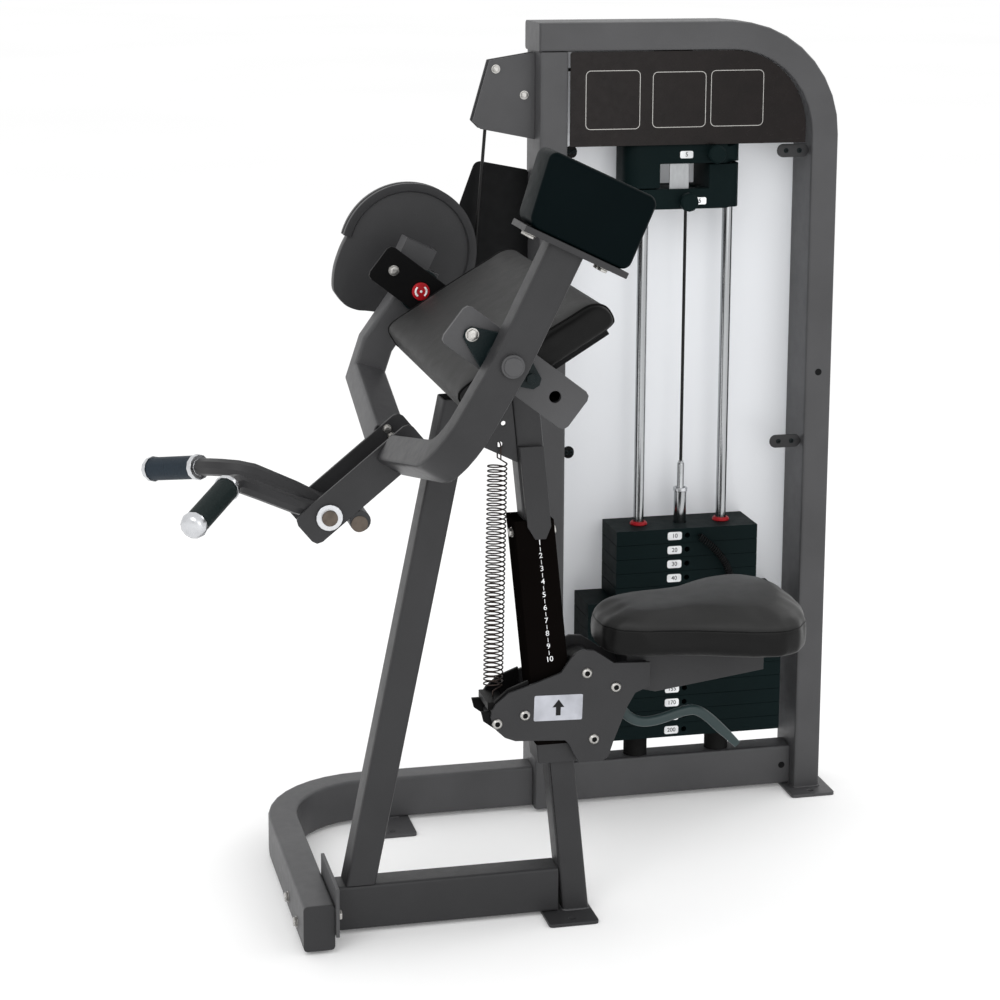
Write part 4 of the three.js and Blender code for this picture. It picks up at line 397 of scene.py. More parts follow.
def bolt(name, body, point, axis, size, kind="hex", finish=STEEL):
    """A fastener standing on a face at a point: a hex head on its washer, or a round head with a socket."""
    bm = bmesh.new()
    if kind == "hex":
        washer = ((0, 0), (1.28, 0), (1.28, 0.16), (0.55, 0.2), (0, 0.2))
        turned(bm, [(out * size, up * size) for out, up in washer])
        corner = size * 1.1 * MM
        head = bmesh.ops.create_cone(bm, cap_ends=True, segments=6, radius1=corner, radius2=corner,
                                     depth=size * 0.62 * MM,
                                     matrix=Matrix.Translation((0, 0, size * 0.5 * MM)))
        edges = {edge for vert in head["verts"] for edge in vert.link_edges}
        round_off(bm, list(edges), size * 0.09, 2, True)
        crown = ((0, 0.84), (0.48, 0.84), (0.5, 0.78), (0.5, 0.7))
        turned(bm, [(out * size, up * size) for out, up in crown])
    else:
        button = ((1.1, 0), (1.1, 0.12), (1, 0.3), (0.75, 0.5), (0.6, 0.55), (0.54, 0.5), (0.5, 0.12),
                  (0, 0.1))
        turned(bm, [(out * size, up * size) for out, up in button])
        # The floor of the socket takes the black finish, as painted shade.
        for face in bm.faces:
            middle = face.calc_center_median() / MM
            face.material_index = int(middle.z < size * 0.47 and middle.xy.length < size * 0.47)
    bmesh.ops.transform(bm, matrix=aim(axis, point), verts=bm.verts)
    put(name, bm, body, finish, BLACK_PLASTIC_AND_PAINTED_SHADE, crease=35)


def plate(name, body, finish, outline, lift, thick, place, edge):
    """A thin flat piece from an outline in its own plane, lifted off that plane and set by a matrix."""
    bm = bmesh.new()
    face = bm.faces.new([bm.verts.new((x * MM, y * MM, lift * MM)) for x, y in outline])
    grow(bm, face, (0, 0, thick * MM))
    bmesh.ops.recalc_face_normals(bm, faces=bm.faces)
    if edge:
        soften(bm, edge, 60)
    bmesh.ops.transform(bm, matrix=place, verts=bm.verts)
    put(name, bm, body, finish, crease=35)


def rounded(wide, tall, corner, steps=5):
    """The outline of a rectangle with round corners."""
    points = []
    for sx, sy, start in ((1, -1, -90), (1, 1, 0), (-1, 1, 90), (-1, -1, 180)):
        for step in range(steps + 1):
            turn = math.radians(start + 90 * step / steps)
            points.append((sx * (wide / 2 - corner) + corner * math.cos(turn),
                           sy * (tall / 2 - corner) + corner * math.sin(turn)))
    return points


def facing(point, normal, upward=UP):
    """A place whose own Z leaves the face, with its own Y upward."""
    out = Vector(normal).normalized()
    side = Vector(upward).cross(out).normalized()
    rise = out.cross(side)
    turn = Matrix((side, rise, out)).transposed().to_4x4()
    return Matrix.Translation(point) @ turn


def live_mesh(piece):
    """The mesh of a piece with its modifiers applied."""
    return bpy.data.meshes.new_from_object(piece.evaluated_get(bpy.context.evaluated_depsgraph_get()))


def meshed(name, curve):
    """A curve or a text as a mesh."""
    source = bpy.data.objects.new(name + "_curve", curve)
    bpy.context.collection.objects.link(source)
    bpy.context.view_layer.update()
    bm = bmesh.new()
    bm.from_mesh(live_mesh(source))
    bpy.data.objects.remove(source)
    return bm


LETTER_BODY_SHARE = 1.38
LETTER_BOLDER = 0.06


def words(name, body, finish, text, tall, place, lift=0.2, thick=0.15):
    """Printed letters or figures as tall as given."""
    curve = bpy.data.curves.new(name, "FONT")
    curve.body = text
    curve.size = tall * LETTER_BODY_SHARE * MM
    curve.align_x = "CENTER"
    curve.align_y = "CENTER"
    curve.extrude = thick * MM / 2
    curve.offset = LETTER_BOLDER * MM
    bm = meshed(name, curve)
    bmesh.ops.translate(bm, verts=bm.verts, vec=(0, 0, (lift + thick / 2) * MM))
    bmesh.ops.transform(bm, matrix=place, verts=bm.verts)
    put(name, bm, body, finish, crease=30, turn=False)


def tube(name, body, finish, points, radius, sides=10, closed=False):
    """A round bar, wire or bead along a line of points."""
    curve = bpy.data.curves.new(name, "CURVE")
    curve.dimensions = "3D"
    curve.bevel_depth = radius * MM
    curve.bevel_resolution = max(0, sides // 2 - 2)
    curve.use_fill_caps = not closed
    spline = curve.splines.new("POLY")
    spline.points.add(len(points) - 1)
    for spot, point in zip(spline.points, points):
        spot.co = (*point, 1)
    spline.use_cyclic_u = closed
    bm = meshed(name, curve)
    bmesh.ops.remove_doubles(bm, verts=bm.verts, dist=TUBE_MERGE)
    return put(name, bm, body, finish, crease=60)


def flowing(points, per=8, closed=False):
    """A smooth line through a few points."""
    count = len(points)
    line = []
    for index in range(count if closed else count - 1):
        near = range(index - 1, index + 3)
        spots = [spot % count if closed else min(max(spot, 0), count - 1) for spot in near]
        before, start, end, after = (points[spot] for spot in spots)
        for step in range(per):
            share = step / per
            line.append(0.5 * (2 * start + (end - before) * share
                               + (2 * before - 5 * start + 4 * end - after) * share ** 2
                               + (3 * start - before - 3 * end + after) * share ** 3))
    return line if closed else line + [points[-1]]


def even_walk(line, count):
    """Points at equal distances along a line."""
    lengths = [0.0]
    for start, end in zip(line, line[1:]):
        lengths.append(lengths[-1] + (end - start).length)
    spots = []
    index = 0
    for step in range(count + 1):
        want = lengths[-1] * step / count
        while index < len(line) - 2 and lengths[index + 1] < want:
            index += 1
        share = (want - lengths[index]) / (lengths[index + 1] - lengths[index])
        spots.append(line[index].lerp(line[index + 1], share))
    return spots


def wound(guide, turns, radius, hint, steps=14):
    """Curls of wire about a guide line."""
    spots = even_walk(guide, turns * steps)
    curls = []
    for index, spot in enumerate(spots):
        along = (spots[min(index + 1, len(spots) - 1)] - spots[max(index - 1, 0)]).normalized()
        across = (hint - along * hint.dot(along)).normalized()
        turn = math.tau * index / steps
        curls.append(spot + (across * math.cos(turn) + along.cross(across) * math.sin(turn)) * radius * MM)
    return curls


# Camera, floor and lights

CAMERA_LENS = 87.822
CAMERA_SHIFT = -0.14
CAMERA_PLACE = (-983.2, -3688.7, 1680.3)
CAMERA_RIGHT = (0.97342120, -0.22898459, 0.00415134)
CAMERA_ABOVE = (0.04018946, 0.18863572, 0.98122442)
CAMERA_AHEAD = (0.22546836, 0.95497781, -0.19282478)
LIT_MIDDLE = (0, 200, 700)
LAMPS = (
    ("key", (-2600, -3000, 3400), 2200, 44),
    ("rim", (2600, 600, 2600), 1800, 24),
    ("front", (600, -4200, 1500), 2400, 22),
)


def set_stage():
    lens = bpy.data.cameras.new("camera")
    lens.sensor_width = 36
    lens.lens = CAMERA_LENS
    lens.shift_y = CAMERA_SHIFT
    camera = bpy.data.objects.new("camera", lens)
    turn = Matrix((Vector(CAMERA_RIGHT), Vector(CAMERA_ABOVE), -Vector(CAMERA_AHEAD))).transposed().to_4x4()
    camera.matrix_world = Matrix.Translation(at(*CAMERA_PLACE)) @ turn
    bpy.context.collection.objects.link(camera)
    bpy.context.scene.camera = camera
    bpy.context.scene.view_settings.view_transform = "Standard"

    bm = bmesh.new()
    bmesh.ops.create_grid(bm, x_segments=2, y_segments=2, size=60)
    pale, tree, shader, place = new_finish("pale_floor", (0.9, 0.9, 0.9), 0.8)
    mottle(tree, shader, speckle(tree, place, 0.4), (0.89, 0.89, 0.89), (0.91, 0.91, 0.91))
    shader.inputs["Specular IOR Level"].default_value = 0.0
    shader.inputs["Emission Color"].default_value = (1, 1, 1, 1)
    shader.inputs["Emission Strength"].default_value = 0.1
    put("floor", bm, None, pale)

    world = bpy.data.worlds.new("studio")
    world.use_nodes = True
    world.node_tree.nodes["Background"].inputs["Color"].default_value = (1, 1, 1, 1)
    world.node_tree.nodes["Background"].inputs["Strength"].default_value = 1.0
    bpy.context.scene.world = world
    for name, place, size, power in LAMPS:
        light = bpy.data.lights.new(name, "AREA")
        light.shape = "SQUARE"
        light.size = size * MM
        light.energy = power
        lamp = bpy.data.objects.new(name, light)
        spot = at(*place)
        lamp.matrix_world = aim(spot - at(*LIT_MIDDLE), spot)
        bpy.context.collection.objects.link(lamp)


set_stage()


# Painted frame and moving metal

PIVOT = at(-181, 0, 1000)
HEAD_TILT = math.radians(37.6)
NEAR_GRIP = (at(-557, -91, 775), at(-627, -201, 741))
FAR_GRIP = (at(-580, 90, 764), at(-652, 201, 738))


def beside(spot, line, reach):
    """Whether a spot, in millimetres, lies along a line and within reach of it."""
    start, end = line[0] / MM, line[1] / MM
    along = (end - start).normalized()
    share = (spot - start).dot(along)
    return -1.5 < share < (end - start).length + 2 and (spot - start - along * share).length < reach


FRAME_EDGE = 0.9
SMALL_EDGE = 0.5

for node in ("tower_left_post", "tower_hoop", "tower_bottom_tube", "base_curved_tube", "base_rubber_pad",
             "base_joint_bracket", "pad_cross_tube", "bearing_plate_near", "bearing_plate_far",
             "side_pulley_bracket", "top_pulley_bracket", "rod_holder", "far_arm", "pad_board",
             "spring_bracket", "add_on_strap", "rear_panel"):
    dress(node, FRAME_EDGE)
# These nearer parts take the frame paint's darker copy, as painted shade.
for node in ("seat_frame_base_tube", "front_leg", "seat_column", "head_web_plate", "seat_carriage",
             "seat_arm", "handle_carrier", "base_end_cap"):
    dress(node, FRAME_EDGE, finish=PAINTED_SHADE_GREY)
for node in ("guide_rod_left", "guide_rod_right", "stack_bumper_left", "stack_bumper_right", "side_pulley",
             "top_pulley", "selector_pin", "seat_roller", "cable_top_run", "cable_on_cam", "cable_cam_run",
             "grip_near"):
    dress(node, SMALL_EDGE, 55, 40)
dress("tower_end_cap", FRAME_EDGE, finish=FRAME_GREY)
dress("placard", SMALL_EDGE, finish=PLACARD)
dress("grip_far", SMALL_EDGE, 55, 40, finish=GRIP_FAR)
dress("resting_plates", 0)
dress("lifted_plates", 0)

# The way a flange's ears point, and how far from its middle they start and are drawn out
EARS = Vector((math.cos(HEAD_TILT), 0, -math.sin(HEAD_TILT)))
EAR_START = 29
EAR_LONGER = 12
FLANGE_CORE = 25
FLANGE_WIDER = 7
GUARD_CORNER = 14
RAIL_BLACK_LOW = 300
CAP_NEAR_FACE = 318
CAP_BORE = 17
PIN_END = 50.6


def long_ears(bm):
    """Draws the two ears of a flange out round their bolts, and its middle out round the shaft."""
    for vert in bm.verts:
        along = (vert.co - PIVOT).dot(EARS)
        across = vert.co - PIVOT - EARS * along
        across.y = 0
        if abs(along) > EAR_START * MM:
            vert.co += EARS * math.copysign(EAR_LONGER * MM, along)
        elif across.length > FLANGE_CORE * MM:
            vert.co += across.normalized() * FLANGE_WIDER * MM


def crosswise(edge):
    """Whether an edge runs along Y."""
    return abs(edge.verts[0].co.y - edge.verts[1].co.y) > 0.9 * edge.calc_length()


def round_guard(bm):
    """Rounds the four corners of the guard panel."""
    round_off(bm, [edge for edge in bm.edges if crosswise(edge)], GUARD_CORNER, 6, True)


def grey_foot(bm):
    """Cuts the rail where its black part ends, low on the column."""
    bmesh.ops.bisect_plane(bm, geom=bm.verts[:] + bm.edges[:] + bm.faces[:], dist=1e-7,
                           plane_co=at(0, 0, RAIL_BLACK_LOW), plane_no=UP)


dress("flange_bearing_near", 1.6, 55, 40, shape=long_ears)
dress("flange_bearing_far", 1.6, 55, 40, shape=long_ears)
dress("cam_guard_panel", 0.6, 55, 40, shape=round_guard)
dress("seat_index_rail", 0.8, 40, finish=RAIL_COAT, shape=grey_foot,
      second=(lambda spot: spot.z < RAIL_BLACK_LOW, PAINTED_SHADE_GREY))
# The near arm and the handle bar take the frame paint's darker copy, as painted shade.
dress("near_arm", FRAME_EDGE, finish=PAINTED_SHADE_GREY,
      second=(lambda spot: abs(spot.y) < CAP_NEAR_FACE and (spot - PIVOT / MM).xz.length < CAP_BORE, STEEL))
dress("handle_pin", 0.8, 50, second=(lambda spot: abs(spot.y) > PIN_END, BRONZE))
dress("handle_bar", SMALL_EDGE, 50, 40, finish=PAINTED_SHADE_GREY,
      second=(lambda spot: beside(spot, NEAR_GRIP, 24) or beside(spot, FAR_GRIP, 24), ALLOY))

# Only the outer corners of an add-on weight lie beyond these
ADD_ON_LEFT = 217
ADD_ON_RIGHT = 430
ADD_ON_FRONT = 427
ADD_ON_BACK = 518
ADD_ON_CORNER = 30


def dress_add_on(node):
    """An add-on weight with its four outer corners turned round in plan."""
    bm = flattened_solid(node)
    corners = []
    for edge in bm.edges:
        start, end = (vert.co / MM for vert in edge.verts)
        upright = (start - end).xy.length < 0.1 and abs(start.z - end.z) > 20
        at_side = start.x < ADD_ON_LEFT or start.x > ADD_ON_RIGHT
        at_end = start.y < ADD_ON_FRONT or start.y > ADD_ON_BACK
        if upright and at_side and at_end:
            corners.append(edge)
    round_off(bm, corners, ADD_ON_CORNER, 8)
    soften(bm, 1.4, 50)
    stand_for(put(node + "_dressed", bm, home[node], STACK_COAT, crease=30, turn=False), node)


dress_add_on("add_on_weight_upper")
dress_add_on("add_on_weight_lower")


def slab(outline, low, high):
    """A slab between two places on Y, from an outline of X and Z."""
    bm = bmesh.new()
    face = bm.faces.new([bm.verts.new((x * MM, low * MM, z * MM)) for x, z in outline])
    grow(bm, face, (0, (high - low) * MM, 0))
    bmesh.ops.recalc_face_normals(bm, faces=bm.faces)
    return bm


# Counterweight

COUNTERWEIGHT = ((-161.4, 1203.6), (-128, 1311), (31, 1236), (-14.6, 1131.8))
COUNTERWEIGHT_NEAR = -383
COUNTERWEIGHT_FAR = -305

bm = slab(COUNTERWEIGHT, COUNTERWEIGHT_NEAR, COUNTERWEIGHT_FAR)
round_off(bm, [edge for edge in bm.edges if crosswise(edge)], 15, 8)
round_off(bm, [edge for edge in bm.edges if not crosswise(edge)], 7, 5)
stand_for(put("counterweight_block", bm, "arms", WEIGHT_COAT, crease=60), "counterweight")


# Cam: a disc with a long tail, and a rim that carries the cable's groove

CAM_MIDDLE = (-168, 1042)
CAM_TAIL = ((-80, 953), (-128, 936), (-181, 930), (-238, 939), (-261, 942), (-281, 951), (-295, 967),
            (-302, 983), (-299, 1017), (-288, 1050), (-278, 1070))
CAM_DISC_NEAR = 460.8
CAM_DISC_FAR = 485.8
CAM_DISC_RADIUS = 113
RIM_START = 164
RIM_SWEEP = 196
RIM_SECTION = (
    (98, 461.4), (105, 461.4), (107.5, 456.4), (109, 455.8), (120, 455.8), (121, 456.8), (121, 466),
    (117.4, 467.3), (117.4, 474.3), (121, 475.6), (121, 484.8), (120, 485.8), (108, 485.8), (98, 485.2),
)


def cam_arc(radius, start, end, steps):
    """Points of an arc about the cam's middle."""
    turns = [math.radians(start + (end - start) * step / steps) for step in range(steps + 1)]
    middle_x, middle_z = CAM_MIDDLE
    return [(middle_x + radius * math.cos(turn), middle_z + radius * math.sin(turn)) for turn in turns]


def add_to(bm, name, other):
    """Puts one bmesh into another."""
    mesh = bpy.data.meshes.new(name)
    other.to_mesh(mesh)
    other.free()
    bm.from_mesh(mesh)


tail_line = flowing([Vector((x, 0, z)) for x, z in CAM_TAIL], 5)
outline = cam_arc(CAM_DISC_RADIUS, 162, -36, 60) + [(spot.x, spot.z) for spot in tail_line]
bm = slab(outline, CAM_DISC_NEAR, CAM_DISC_FAR)
rim = bmesh.new()
starts = [(*cam_arc(out, RIM_START, RIM_START, 1)[0], y) for out, y in RIM_SECTION]
section = rim.faces.new([rim.verts.new(at(x, y, z)) for x, z, y in starts])
bmesh.ops.spin(rim, geom=[section], cent=at(CAM_MIDDLE[0], 0, CAM_MIDDLE[1]), axis=(0, 1, 0),
               angle=math.radians(RIM_SWEEP), steps=64)
bmesh.ops.recalc_face_normals(rim, faces=rim.faces)
soften(bm, 1.2, 50)
add_to(bm, "cam_rim_source", rim)
# The cam takes the frame paint's darker copy, as painted shade.
stand_for(put("cam_wheel", bm, "arms", PAINTED_SHADE_GREY, crease=34), "cam")


# Open stub on the far arm

ARM_ACROSS = Vector((0.8988, 0, -0.4384))
ARM_ALONG = Vector((0.4384, 0, 0.8988))
STUB_CORNERS = ((-54, 34), (-54, 71), (3, 71), (3, 34))
STUB_NEAR = 321
STUB_FAR = 367
STUB_WALL = 3.5
STUB_DEEP = 20


def on_arm(across, y, along):
    """A place by its distances from the pivot across and along the arms."""
    return PIVOT + (ARM_ACROSS * across + ARM_ALONG * along + Vector((0, y, 0))) * MM


corners = [on_arm(across, 0, along) / MM for across, along in STUB_CORNERS]
bm = slab([(corner.x, corner.z) for corner in corners], STUB_NEAR, STUB_FAR)
mouth = max(bm.faces, key=lambda face: face.calc_center_median().dot(ARM_ALONG))
bmesh.ops.inset_region(bm, faces=[mouth], thickness=STUB_WALL * MM, depth=0)
painted_shade_inside = grow(bm, mouth, -ARM_ALONG * STUB_DEEP * MM)
bmesh.ops.delete(bm, geom=[mouth], context="FACES_ONLY")
# The inside of the open mouth takes the black finish, as painted shade.
for item in painted_shade_inside:
    if isinstance(item, bmesh.types.BMFace):
        item.material_index = 1
put("far_arm_stub", bm, "arms", FRAME_GREY, BLACK_PLASTIC_AND_PAINTED_SHADE, crease=34)


# Arm pad and saddle

def smooth(bm, passes):
    """Evens out a net."""
    for _ in range(passes):
        bmesh.ops.smooth_vert(bm, verts=bm.verts, factor=0.5, use_axis_x=True, use_axis_y=True,
                              use_axis_z=True)


def swollen(node, voxel, drawn_in, cap, held, level):
    """A solid's form as an even net, drawn in a little and then blown up as cloth.

    Level lays it level while the net is made. Held tells which points stay. No other moves more than cap.
    """
    bm = joined_solid(node)
    bmesh.ops.transform(bm, matrix=level, verts=bm.verts)
    block = put(node + "_block", bm, None, turn=False)
    even = block.modifiers.new("even", "REMESH")
    even.mode = "VOXEL"
    even.voxel_size = voxel * MM
    bpy.context.view_layer.update()
    net = live_mesh(block)
    block.modifiers.clear()
    block.data = net
    bm = bmesh.new()
    bm.from_mesh(net)
    bmesh.ops.transform(bm, matrix=level.inverted(), verts=bm.verts)
    smooth(bm, 1)
    bm.normal_update()
    for vert in bm.verts:
        if not held(vert.co / MM):
            vert.co -= vert.normal * drawn_in * MM
    bm.to_mesh(net)
    bm.free()
    rest = [vert.co.copy() for vert in net.vertices]
    group = block.vertex_groups.new(name="held")
    group.add([vert.index for vert in net.vertices if held(vert.co / MM)], 1.0, "REPLACE")
    stuffing = block.modifiers.new("stuffing", "CLOTH")
    stuffing.settings.use_pressure = True
    stuffing.settings.uniform_pressure_force = 4
    stuffing.settings.effector_weights.gravity = 0
    stuffing.settings.vertex_group_mass = "held"
    for moment in range(1, 21):
        bpy.context.scene.frame_set(moment)
    full = block.evaluated_get(bpy.context.evaluated_depsgraph_get()).to_mesh()
    moves = [vert.co - start for vert, start in zip(full.vertices, rest)]
    bpy.context.scene.frame_set(1)
    kept = [min(1.0, cap * MM / max(move.length, 1e-9)) for move in moves]
    rest = [start + move * share for start, move, share in zip(rest, moves, kept)]
    bm = bmesh.new()
    bm.from_mesh(net)
    bm.verts.ensure_lookup_table()
    for vert, spot in zip(bm.verts, rest):
        vert.co = spot
    smooth(bm, 7)
    bpy.data.objects.remove(block)
    bm.normal_update()
    return bm


def channel(bm, line, wide, deep):
    """Draws the skin in beside a seam."""
    near = KDTree(len(line))
    for index, spot in enumerate(line):
        near.insert(spot, index)
    near.balance()
    for vert in bm.verts:
        away = near.find(vert.co)[2]
        vert.co -= vert.normal * deep * MM * math.exp(-(away / (wide * MM)) ** 2)
    bm.normal_update()


def on_skin(skin, points, lift):
    """Points moved on to a skin and lifted off it."""
    placed = []
    for point in points:
        spot, normal, _, _ = skin.find_nearest(point)
        placed.append(spot + normal * lift * MM)
    return placed


def cushion(node, bm, finish):
    """A stuffed piece from its net."""
    piece = put(node + "_stuffed", bm, home[node], finish, crease=180, turn=False)
    fine = piece.modifiers.new("fine", "SUBSURF")
    fine.levels = 1
    fine.render_levels = 1
    stand_for(piece, node)


SLOPE = math.radians(31.6)
PAD_ALONG = Vector((math.cos(SLOPE), 0, math.sin(SLOPE)))
PAD_UP = Vector((-math.sin(SLOPE), 0, math.cos(SLOPE)))
PAD_CORNER = Vector((-250, 0, 944))
PAD_BACKING = -44
PAD_SEAM = 277
PAD_SECTION = (
    (4, -46), (0, -25), (2, -6), (14, 2), (60, 5), (134, 6), (200, 5), (236, 2), (254, -6), (264, -16),
    (268, -28), (266, -40), (254, -49), (134, -50), (30, -50),
)


def on_pad(along, y, up):
    """A place by its distances along the pad's slope and up from it."""
    return (PAD_CORNER + PAD_ALONG * along + PAD_UP * up + Vector((0, y, 0))) * MM


def pad_loop(y):
    """The seam round one end of the pad."""
    return flowing([on_pad(along, y, up) for along, up in PAD_SECTION], 6, True)


pad_bm = swollen("arm_pad", 6.0, 2.0, 2.5, lambda spot: (spot - PAD_CORNER).dot(PAD_UP) < PAD_BACKING,
                 Matrix.Rotation(SLOPE, 4, "Y"))
for side in (-1, 1):
    channel(pad_bm, pad_loop(side * PAD_SEAM), 3.5, 2.2)
pad_skin = BVHTree.FromBMesh(pad_bm)
cushion("arm_pad", pad_bm, PAD_TOP)
for label, side in (("near", -1), ("far", 1)):
    beading = on_skin(pad_skin, pad_loop(side * PAD_SEAM), 0.4)
    tube("pad_piping_" + label, "frame", PIPING, beading, 1.7, 8, True)

# The far half of the saddle's outline, its seam's height, and the hump that its back part has
SADDLE = ((46, 0), (50, 40), (66, 66), (100, 82), (150, 90), (195, 100), (240, 116), (285, 130), (330, 134),
          (362, 120), (384, 88), (396, 44), (399, 0))
SADDLE_BACKING = 456
SADDLE_SEAM = 498
HUMP_X = 315
HUMP_LONG = 120
HUMP_WIDE = 125
HUMP_HIGH = 15
HUMP_FROM = 470
HUMP_FULL = 515


def saddle_loop(z):
    """The saddle's outline at one height."""
    far = [at(x, y, z) for x, y in SADDLE]
    return flowing(far + [at(x, -y, z) for x, y in reversed(SADDLE[1:-1])], 5, True)


saddle_bm = swollen("seat_pad", 5.0, 1.0, 4.0, lambda spot: spot.z < SADDLE_BACKING, Matrix.Identity(4))
for vert in saddle_bm.verts:
    spot = vert.co / MM
    crown = math.exp(-((spot.x - HUMP_X) / HUMP_LONG) ** 2 - (spot.y / HUMP_WIDE) ** 2)
    share = min(1.0, max(0.0, (spot.z - HUMP_FROM) / (HUMP_FULL - HUMP_FROM)))
    vert.co.z += HUMP_HIGH * MM * crown * share
saddle_bm.normal_update()
saddle_skin = BVHTree.FromBMesh(saddle_bm)
cushion("seat_pad", saddle_bm, SEAT_TOP)
tube("saddle_seam", "seat", PIPING, on_skin(saddle_skin, saddle_loop(SADDLE_SEAM), 0.0), 0.9, 6, True)


# Lifting spring: a hook and evenly wound coils

SPRING_HOOK = ((-117.5, -31, 781), (-118, -31.6, 794), (-118, -30.8, 803), (-118, -26.5, 807.1),
               (-118, -20, 807.3), (-118, -10, 806.2), (-118, -5, 801), (-117.2, -4, 790), (-117, -4, 778))
SPRING_TOP = at(-117, -4, 768)
SPRING_END = at(-122.8, -4, 398)
SPRING_TAIL = [at(-122.8, -4, 389), at(-122.8, -4, 380)]
SPRING_COILS = 47
SPRING_RADIUS = 15.6
SPRING_WIRE = 1.25

curls = wound([SPRING_TOP, SPRING_END], SPRING_COILS, SPRING_RADIUS, Vector((1, 0, 0)))
hook = flowing([at(*spot) for spot in SPRING_HOOK], 5)
tube("seat_spring_hook", "frame", SPRING_STEEL, hook + curls[:1], SPRING_WIRE, 8)
spring = tube("seat_spring_wire", "frame", SPRING_STEEL, curls + SPRING_TAIL, SPRING_WIRE, 8)
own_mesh(spring)
stand_for(spring, "seat_spring")


# Curly lanyard of the selector pin

LANYARD_ROUTE = ((361, 414.3, 509), (386, 406.3, 487), (408, 404.3, 458), (418, 404.3, 428),
                 (415, 404.3, 396), (396, 404.3, 366), (372, 405.3, 351.1))
LANYARD_START = [at(361, 422.2, 510), at(361, 417.3, 510)]
LANYARD_END = [at(362, 405.3, 351.1), at(353.1, 405.3, 351.1)]
LANYARD_CURLS = 46
LANYARD_RADIUS = 5.8
LANYARD_WIRE = 1.4

route = flowing([at(*spot) for spot in LANYARD_ROUTE], 12)
curls = wound(route, LANYARD_CURLS, LANYARD_RADIUS, Vector((0, 1, 0)), 12)
cord = LANYARD_START + curls + LANYARD_END
lanyard = tube("pin_lanyard_cord", None, BLACK_PLASTIC_AND_PAINTED_SHADE, cord, LANYARD_WIRE, 6)
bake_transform(lanyard)
stand_for(lanyard, "pin_lanyard")


# Cable that hangs over the stack, made from points at even steps along it

STACK_X = 340
STACK_Y = 470.8
CABLE_TOP = 1322.7
CABLE_FOOT = 639.3
CABLE_STEP = 8.6
CABLE_RADIUS = 3

drop = [at(STACK_X, STACK_Y, CABLE_TOP - CABLE_STEP * step) for step in range(77)]
cable = tube("stack_cable", None, CABLE, drop + [at(STACK_X, STACK_Y, CABLE_FOOT)], CABLE_RADIUS, 10)
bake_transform(cable)
stand_for(cable, "cable_stack_run")


# Selector stem

STEM_PROFILE = ((0, 130), (11, 130), (11, 522), (11.5, 524), (11.5, 583), (9, 583.5), (6.4, 592),
                (6.4, 632), (6, 634.5), (4.6, 636), (4.6, 638.6), (0, 638.6))

bm = bmesh.new()
turned(bm, STEM_PROFILE, 36)
bmesh.ops.translate(bm, verts=bm.verts, vec=at(STACK_X, STACK_Y, 0))
stand_for(put("stem", bm, "stack", CHROME, crease=35), "selector_stem")


# Seat lever: a bent bar that tapers at its end, on a hub

LEVER_LINE = ((77, 378), (83, 361), (93, 344), (104, 333), (118, 325.5), (135, 323), (158, 326),
              (190, 334.5), (211, 337.5), (225, 333), (240, 322), (256, 306.5), (274, 289), (291, 271.5))
LEVER_SIDE = -20
LEVER_SECTION = rounded(13, 17, 5.5, 4)
LEVER_END_SHARE = 0.72
LEVER_TAPER_STEPS = 10
HUB_PROFILE = ((9, -36), (17, -36), (18, -35), (18, 35), (17, 36), (9, 36), (9, -36))
HUB_MIDDLE = at(73.2, 0, 395)


def rim_edges(bm, loop):
    """The edges round a loop of points, made where they are missing."""
    pairs = [(loop[spot - 1], loop[spot]) for spot in range(len(loop))]
    return [bm.edges.get(pair) or bm.edges.new(pair) for pair in pairs]


line = flowing([at(x, LEVER_SIDE, z) for x, z in LEVER_LINE], 6)
across = Vector((0, 1, 0))
bm = bmesh.new()
loops = []
for index, spot in enumerate(line):
    along = (line[min(index + 1, len(line) - 1)] - line[max(index - 1, 0)]).normalized()
    over = across.cross(along).normalized()
    share = min(1.0, (len(line) - 1 - index) / LEVER_TAPER_STEPS)
    size = LEVER_END_SHARE + (1 - LEVER_END_SHARE) * share
    loops.append([bm.verts.new(spot + (across * u + over * v) * size * MM) for u, v in LEVER_SECTION])
for first, second in zip(loops, loops[1:]):
    bmesh.ops.bridge_loops(bm, edges=rim_edges(bm, first) + rim_edges(bm, second))
bm.faces.new(loops[0])
bm.faces.new(loops[-1])
hub = bmesh.new()
turned(hub, HUB_PROFILE, 32)
bmesh.ops.transform(hub, matrix=aim((0, 1, 0), HUB_MIDDLE), verts=hub.verts)
add_to(bm, "lever_hub_source", hub)
stand_for(put("lever", bm, "lever", LEVER_COAT, crease=50), "seat_lever")


# Fasteners

BEARING_BOLTS = ((-227, 1037, STEEL), (-139, 969, CAST_BLACK))
BEARING_FACES = (("near_out", -310, -1, 7.8), ("near_in", -294, 1, 7.0),
                 ("far_out", 310, 1, 7.8), ("far_in", 294, -1, 7.0))
COUNTERWEIGHT_BOLTS = ((-56, -356), (-56, -332), (63, -356), (63, -332))
COUNTERWEIGHT_FOOT = 181.7
FRAME_BOLTS = (
    (-14, 457.8, 1359, TO_FRONT, 6.0), (37, 457.8, 1313, TO_FRONT, 6.0),
    (-450, 77, 30, (-1, 0, 0), 7.5), (-450, -19, 28, (-1, 0, 0), 7.5),
    (-393.2, -80, 60, (1, 0, 0), 7.5), (-393.2, 40, 60, (1, 0, 0), 7.5),
    (-92.8, -8, 655, (-0.995, 0, -0.104), 6.5), (-26.8, -8, 655, (0.995, 0, 0.104), 6.5),
)
CARRIER_BOLTS = ((-287, 824), (-280, 811))
CARRIER_FACE = 39
CARRIAGE_BOLTS = ((-125, 347), (-79, 358), (24, 422), (73, 395), (37, 309))
CARRIAGE_FACE = 45

